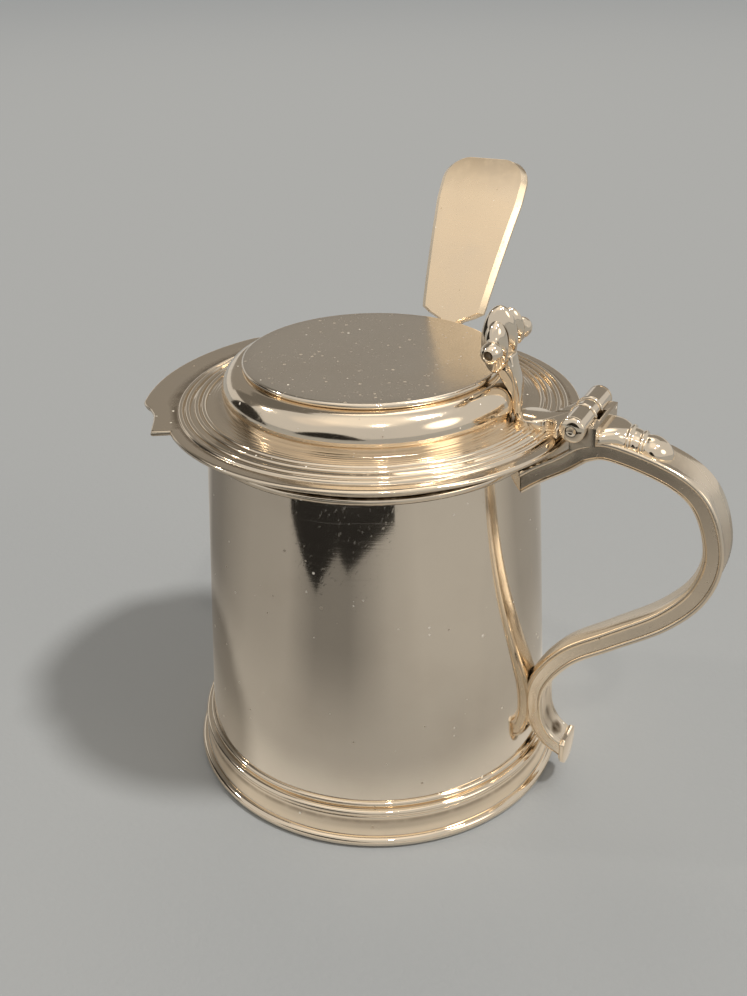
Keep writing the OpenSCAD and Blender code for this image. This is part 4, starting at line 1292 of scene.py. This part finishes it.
def spoon_section(spoon, s):
    """Ring of the spoon at a distance from the bowl's tip: a crescent that grows into a flat bar."""
    half_len, count = spoon.bowl_len / 2, 16
    round_end = spoon.corner_r
    oval = math.sqrt(max(0.0, 1 - ((s - half_len) / half_len) ** 2))
    wide, deep = spoon.bowl_w / 2 * oval, spoon.bowl_depth * oval
    wall = min(spoon.bowl_t, 0.7 * wide)
    bar = spoon_half(spoon, s)
    past = max(0.0, s - spoon.length + round_end)
    bar -= round_end - math.sqrt(max(0.0, round_end ** 2 - past ** 2))
    edge, spread = 0.35 * MM, 1.15
    bevel = min(spoon.chamfer, 0.4 * bar)
    neck_from, neck_run = spoon.bowl_len - 6 * MM, 7 * MM
    form = ease((s - neck_from) / neck_run)
    ring = []
    for i in range(count + 1):
        turn = math.pi * (1 - i / count)
        hollow = ((wide - wall) * math.cos(turn), max(0.0, deep - wall) * math.sin(turn))
        flat = (max(-bar + bevel, min(bar - bevel, bar * math.cos(turn) * spread)), 0.0)
        if i in (0, count):
            flat = (math.copysign(bar, flat[0]), bevel)
        ring.append((mix(hollow[0], flat[0], form), mix(hollow[1], flat[1], form)))
    for i in range(count + 1):
        turn = math.pi * i / count
        back = (wide * math.cos(turn), deep * math.sin(turn))
        flat = (max(-bar + edge, min(bar - edge, bar * math.cos(turn) * spread)), spoon.thick)
        if i in (0, count):
            flat = (math.copysign(bar, flat[0]), spoon.thick - edge)
        ring.append((mix(back[0], flat[0], form), mix(back[1], flat[1], form)))
    return ring


class MUSTARD_OT_spoon(bpy.types.Operator):
    """Loose spoon that stands up through the lid's notch"""

    bl_idname = "mustard.spoon"
    bl_label = "Spoon"

    def execute(self, context):
        settings = context.scene.mustard_pot
        spoon = settings.spoon
        bend = spoon.length - spoon.fiddle_len
        fine, coarse, corner = 40, 30, 14
        bowl = [spoon.bowl_len / 2 * (1 - math.cos(math.pi * mix(0.03, 0.78, i / fine)))
                for i in range(fine + 1)]
        stem = [mix(bowl[-1], bend, i / fine) for i in range(1, fine + 1)]
        blade = [mix(bend, spoon.length - spoon.corner_r, i / coarse) for i in range(1, coarse + 1)]
        tip = [spoon.length - spoon.corner_r * (1 - math.sin(math.pi / 2 * i / corner))
               for i in range(1, corner)]
        lean = Matrix.Rotation(math.atan2(-SPOON_AXIS.y, SPOON_AXIS.z), 3, "X")
        foot = Vector((spoon.place_x, spoon_y(settings, spoon.tip_z), spoon.tip_z))
        rings = []
        for s in bowl + stem + blade + tip:
            past = max(0.0, s - bend)
            sway = spoon.curve_r - math.sqrt(spoon.curve_r ** 2 - past * past) - spoon.thick / 2
            rings.append([foot + lean @ Vector((x, y + sway, s)) for x, y in spoon_section(spoon, s)])
        piece = place_piece(loft(rings), "spoon", "spoon", spoon_silver())
        # The spoon's front face is darker, more so towards its top end
        dark_run = 6 * MM
        dark_from = high("spoon").z - dark_run

        def face_darkening(co, normal):
            near_end = min(1.0, max(0.0, (co.z - dark_from) / dark_run))
            return mix(SPOON_FACE_DARKENING, SPOON_TOP_DARKENING, near_end) * (normal.y < -0.4)

        darken_as_hollow(piece, face_darkening)
        return {"FINISHED"}


# Stage

# Camera: place, direction, roll in degrees, focal length and sensor width in millimetres
CAMERA_PLACE = (0.07975, -0.15506, 0.14078)
CAMERA_AHEAD = (-0.4060, 0.7867, -0.4650)
CAMERA_ROLL = 1.132
CAMERA_LENS = 40.44
CAMERA_SENSOR = 36.0

# Floor: half of its side, scale of its grain and depth of that grain
FLOOR_HALF = 4.0
FLOOR_GRAIN = 900.0
FLOOR_RELIEF = 0.15 * MM

# Even light: tint and strength
WORLD_TINT = (1.0, 0.97, 0.93)
WORLD_STRENGTH = 0.24

# Place that the lamps point at
LAMP_TARGET = (0.0, 0.0, 0.05)

# Suns: name, direction, strength, degrees across and tint
SUNS = (
    ("key", (0.467, 0.026, 0.883), 1.7, 7.0, (1.0, 0.94, 0.85)),
    ("front", (0.337, -0.515, 0.788), 0.22, 3.0, (1.0, 0.9, 0.75)),
    ("left", (-0.78, -0.25, 0.57), 0.2, 3.0, (1.0, 0.9, 0.75)),
)

# Soft panels: name, direction, distance, side, glow and tint
PANELS = (
    ("roof", (-0.25, 0.5, 0.83), 1.8, 1.5, 1.15, (1.0, 0.85, 0.66)),
    ("ceiling", (0.1, -0.3, 0.95), 1.8, 2.4, 0.25, (1.0, 0.86, 0.66)),
    ("window", (-0.314, -0.591, 0.743), 1.8, 1.3, 0.1, (1.0, 0.75, 0.5)),
    ("side", (0.895, -0.142, 0.423), 1.5, 0.85, 1.3, (1.0, 0.88, 0.7)),
)

# Each card glows at its tone and only mirrors show it: painted reflections of a dark room and a dim wall
# round the pot
# Cards: name, tone, middle and half angle in degrees, distance, lower and upper edge, and if pointed
CARDS = (
    ("front_flag", 0.02, -4.0, 26.0, 0.5, 0.02, 0.2, True),
    ("left_flag", 0.03, -75.0, 22.0, 0.5, 0.0, 0.24, True),
    ("wall", 0.27, 207.0, 50.0, 0.55, 0.18, 0.46, False),
    ("left_wall", 0.15, -118.0, 42.0, 0.6, 0.24, 1.4, False),
)
CARD_TINT = (1.0, 0.93, 0.83)

# Dark card on the floor: its height, and its outline as degrees from the front and distance
SHADOW_Z = 0.4 * MM
SHADOW_EDGE = (
    (-25, 0.172), (-18, 0.146), (-12, 0.13), (-8, 0.124), (-3, 0.136), (2, 0.146), (5.5, 0.15), (8, 0.144),
    (11, 0.139), (15, 0.143), (20, 0.15), (28, 0.16), (39, 0.172), (39, 0.235), (-25, 0.235),
)

# The mat only shows in mirrors: its darker tones are painted shade on the floor in front of the pot and on
# its left
# Mat round the pot: inner and outer place as distance and height, and tones by degrees from the front
MAT_INNER = (36 * MM, 0.2 * MM)
MAT_OUTER = (240 * MM, 0.2 * MM)
MAT_TONES = (
    (-180, 0.93), (-122, 0.9), (-106, 0.4), (-88, 0.4), (-55, 0.66), (-26, 0.7), (-8, 0.41), (12, 0.41),
    (34, 0.8), (52, 0.96), (105, 0.96), (124, 0.64), (152, 0.64), (178, 0.93),
)

# Tones of the mat against the foot and close to it, and the distances between which each gives way; the
# lighter tone against the foot is a painted pool of light
MAT_LIT = 1.3
MAT_CLOSE = 0.86
MAT_LIT_FADE = (0.038, 0.055)
MAT_CLOSE_FADE = (0.045, 0.1)
MAT_EDGE_FADE = (0.2, 0.235)

MATT = {"Roughness": 1.0, "Specular IOR Level": 0.0}


class MUSTARD_OT_stage(bpy.types.Operator):
    """Plain pale floor, soft light, reflection cards and the camera"""

    bl_idname = "mustard.stage"
    bl_label = "Stage"

    def execute(self, context):
        self.camera(context.scene)
        self.floor(context.scene)
        self.world(context.scene)
        self.lamps(context.scene)
        self.flags(context.scene)
        context.scene.view_settings.view_transform = "Standard"
        return {"FINISHED"}

    def camera(self, scene):
        """Camera at the photograph's viewing angle."""
        data = bpy.data.cameras.new("camera")
        data.lens, data.sensor_width = CAMERA_LENS, CAMERA_SENSOR
        data.clip_start = 0.01
        camera = bpy.data.objects.new("camera", data)
        scene.collection.objects.link(camera)
        ahead = Vector(CAMERA_AHEAD).normalized()
        side = ahead.cross(Vector((0, 0, 1))).normalized()
        side = Matrix.Rotation(math.radians(CAMERA_ROLL), 3, ahead) @ side
        turn = Matrix((side, side.cross(ahead), -ahead)).transposed()
        camera.matrix_world = Matrix.Translation(CAMERA_PLACE) @ turn.to_4x4()
        scene.camera = camera

    def floor(self, scene):
        """Wide plain floor."""
        bm = bmesh.new()
        bmesh.ops.create_grid(bm, x_segments=1, y_segments=1, size=FLOOR_HALF)
        floor = bpy.data.objects.new("floor", mesh_of(bm, "floor"))
        scene.collection.objects.link(floor)
        material, tree, paint = new_material("floor_paint")
        grain = noise(tree, object_place(tree), FLOOR_GRAIN, 3.0)
        bump = add(tree, "ShaderNodeBump", {"Height": grain, "Distance": FLOOR_RELIEF, "Strength": 0.5})
        pale = rgba(scene.mustard_pot.silver.floor)
        wire(tree, paint, {"Base Color": pale, "Normal": bump.outputs[0], **MATT})
        floor.data.materials.append(material)

    def world(self, scene):
        """Even light from all round, with a plain pale background."""
        world = bpy.data.worlds.new("studio")
        world.use_nodes = True
        tree = world.node_tree
        light = tree.nodes["Background"]
        wire(tree, light, {"Color": rgba(WORLD_TINT), "Strength": WORLD_STRENGTH})
        backdrop = rgba(scene.mustard_pot.silver.backdrop)
        plain = add(tree, "ShaderNodeBackground", {"Color": backdrop, "Strength": 1.0})
        rays = add(tree, "ShaderNodeLightPath").outputs
        seen = maths(tree, "MAXIMUM", rays["Is Camera Ray"], rays["Is Glossy Ray"])
        seen = maths(tree, "MAXIMUM", seen, rays["Is Transmission Ray"])
        both = add(tree, "ShaderNodeMixShader", {0: seen, 1: light.outputs[0], 2: plain.outputs[0]})
        wire(tree, tree.nodes["World Output"], {"Surface": both.outputs[0]})
        scene.world = world

    def lamps(self, scene):
        """Small lamps as suns, and soft panels that the silver mirrors."""
        for name, way, strength, size, tint in SUNS:
            data = bpy.data.lights.new(name, "SUN")
            data.energy, data.angle, data.color = strength, math.radians(size), tint
            self.aim(scene, bpy.data.objects.new(name, data), Vector(way))
        for name, way, distance, size, glow, tint in PANELS:
            data = bpy.data.lights.new(name, "AREA")
            data.size, data.color = size, tint
            data.energy = glow * math.pi * size * size
            data.use_nodes = True
            self.soften_panel(data.node_tree)
            panel = bpy.data.objects.new(name, data)
            panel.visible_camera = False
            self.aim(scene, panel, Vector(way), distance)

    def soften_panel(self, tree):
        """Let a panel's light fade towards its edge."""
        across = add(tree, "ShaderNodeNewGeometry").outputs["Parametric"]
        middle = add(tree, "ShaderNodeVectorMath", {0: across, 1: (0.5, 0.5, 0.0)}, operation="DISTANCE")
        glow = remap(tree, middle.outputs["Value"], 0.5, 0.2, 0.0, 1.6)
        wire(tree, tree.nodes["Emission"], {"Strength": glow})

    def aim(self, scene, lamp, way, distance=1.0):
        """Put a lamp in a direction from the pot and turn it towards the pot."""
        lamp.rotation_mode = "QUATERNION"
        lamp.rotation_quaternion = way.to_track_quat("Z", "Y")
        lamp.location = way.normalized() * distance + Vector(LAMP_TARGET)
        scene.collection.objects.link(lamp)

    def flags(self, scene):
        """Glowing cards round the pot that only mirrors show, which paint reflections on the silver."""
        for name, tone, turn, half_angle, distance, low_z, high_z, pointed in CARDS:
            material, tree, reflection_glow = new_material(name)
            wire(tree, reflection_glow, {"Base Color": rgba((0.0, 0.0, 0.0)), "Specular IOR Level": 0.0,
                               "Emission Color": rgba(CARD_TINT, tone), "Emission Strength": 1.0})
            self.card(scene, material, turn, half_angle, (distance, low_z), (distance, high_z), pointed)
            # The same dark glow paints a shadow on the floor in front of the pot, seen only in mirrors
            if name == "front_flag":
                self.shadow_card(scene, material)
        self.card(scene, self.mat_paint(scene), 0.0, 180.0, MAT_INNER, MAT_OUTER)

    def shadow_card(self, scene, material):
        """Dark card on the floor in front of the pot, with two points, which the drum mirrors."""
        bm = bmesh.new()
        corners = [(math.radians(turn), r) for turn, r in SHADOW_EDGE]
        bm.faces.new([bm.verts.new((r * math.sin(t), -r * math.cos(t), SHADOW_Z)) for t, r in corners])
        self.hide_card(scene, material, bm)

    def card(self, scene, material, turn, half_angle, start, end, pointed=False):
        """Curved card round the pot, between two places given as distance and height."""
        bm = bmesh.new()
        way = math.radians(turn - half_angle)
        ends = [bm.verts.new((r * math.sin(way), -r * math.cos(way), z)) for r, z in (start, end)]
        edge = bm.edges.new(ends)
        bmesh.ops.spin(bm, geom=ends + [edge], cent=(0, 0, 0), axis=(0, 0, 1), steps=36,
                       angle=math.radians(2 * half_angle), use_merge=half_angle == 180.0)
        if pointed:
            for vert in bm.verts:
                off = (math.degrees(math.atan2(vert.co.x, -vert.co.y)) - turn) / half_angle
                vert.co.z = mix(start[1], vert.co.z, max(0.0, 1 - off * off))
        self.hide_card(scene, material, bm)

    def hide_card(self, scene, material, bm):
        """Make a card that only mirrors show."""
        card = bpy.data.objects.new(material.name, mesh_of(bm, material.name))
        card.visible_camera = False
        card.visible_diffuse = False
        card.visible_shadow = False
        card.data.materials.append(material)
        scene.collection.objects.link(card)

    def mat_paint(self, scene):
        """Paint for the mat: painted shade in front of the pot and on its left, and a painted pool of light
        against the foot.
        """
        colours = scene.mustard_pot.silver
        material, tree, paint = new_material("mat")
        x, y, _ = split(tree, object_place(tree))
        turn = maths(tree, "ARCTAN2", x, maths(tree, "MULTIPLY", y, -1.0))
        turn = maths(tree, "ADD", maths(tree, "DIVIDE", turn, math.tau), 0.5)
        ramp = add(tree, "ShaderNodeValToRGB", {0: turn})
        steps = ramp.color_ramp.elements
        while len(steps) < len(MAT_TONES):
            steps.new(0.5)
        for step, (degrees, tone) in zip(steps, MAT_TONES):
            step.position = degrees / 360 + 0.5
            step.color = rgba(colours.mat, tone)
        radius = from_axis(tree, x, y)
        lit, close = rgba(colours.mat, MAT_LIT), rgba(colours.mat, MAT_CLOSE)
        paler = blend_colour(tree, remap(tree, radius, *MAT_LIT_FADE), lit, close)
        faded = blend_colour(tree, remap(tree, radius, *MAT_CLOSE_FADE), paler, ramp.outputs["Color"])
        faded = blend_colour(tree, remap(tree, radius, *MAT_EDGE_FADE), faded, rgba(colours.floor))
        wire(tree, paint, {"Base Color": faded, **MATT})
        return material


OPERATORS = (
    MUSTARD_OT_stage, MUSTARD_OT_drum, MUSTARD_OT_mouldings, MUSTARD_OT_lid, MUSTARD_OT_hinge,
    MUSTARD_OT_leaf, MUSTARD_OT_thumbpiece, MUSTARD_OT_handle, MUSTARD_OT_drop, MUSTARD_OT_spoon,
)


class MUSTARD_PT_panel(bpy.types.Panel):
    """Builds the pot piece by piece"""

    bl_idname = "MUSTARD_PT_panel"
    bl_label = "Mustard Pot"
    bl_space_type = "VIEW_3D"
    bl_region_type = "UI"
    bl_category = "Mustard Pot"

    def draw(self, context):
        for operator in OPERATORS:
            self.layout.operator(operator.bl_idname)
        for name in MustardPotSettings.__annotations__:
            group = getattr(context.scene.mustard_pot, name)
            box = self.layout.box()
            box.label(text=group.bl_rna.description)
            for key in type(group).__annotations__:
                box.prop(group, key)


CLASSES = (
    PotSizes, LidSizes, CoilSizes, HingeSizes, HandleSizes, SpoonSizes, SilverColours, MustardPotSettings,
    *OPERATORS, MUSTARD_PT_panel,
)


def register():
    for cls in CLASSES:
        bpy.utils.register_class(cls)
    bpy.types.Scene.mustard_pot = PointerProperty(type=MustardPotSettings)


def unregister():
    del bpy.types.Scene.mustard_pot
    for cls in reversed(CLASSES):
        bpy.utils.unregister_class(cls)


def main():
    """Build every piece."""
    register()
    for operator in OPERATORS:
        group, name = operator.bl_idname.split(".")
        getattr(getattr(bpy.ops, group), name)()


if __name__ == "__main__":
    main()
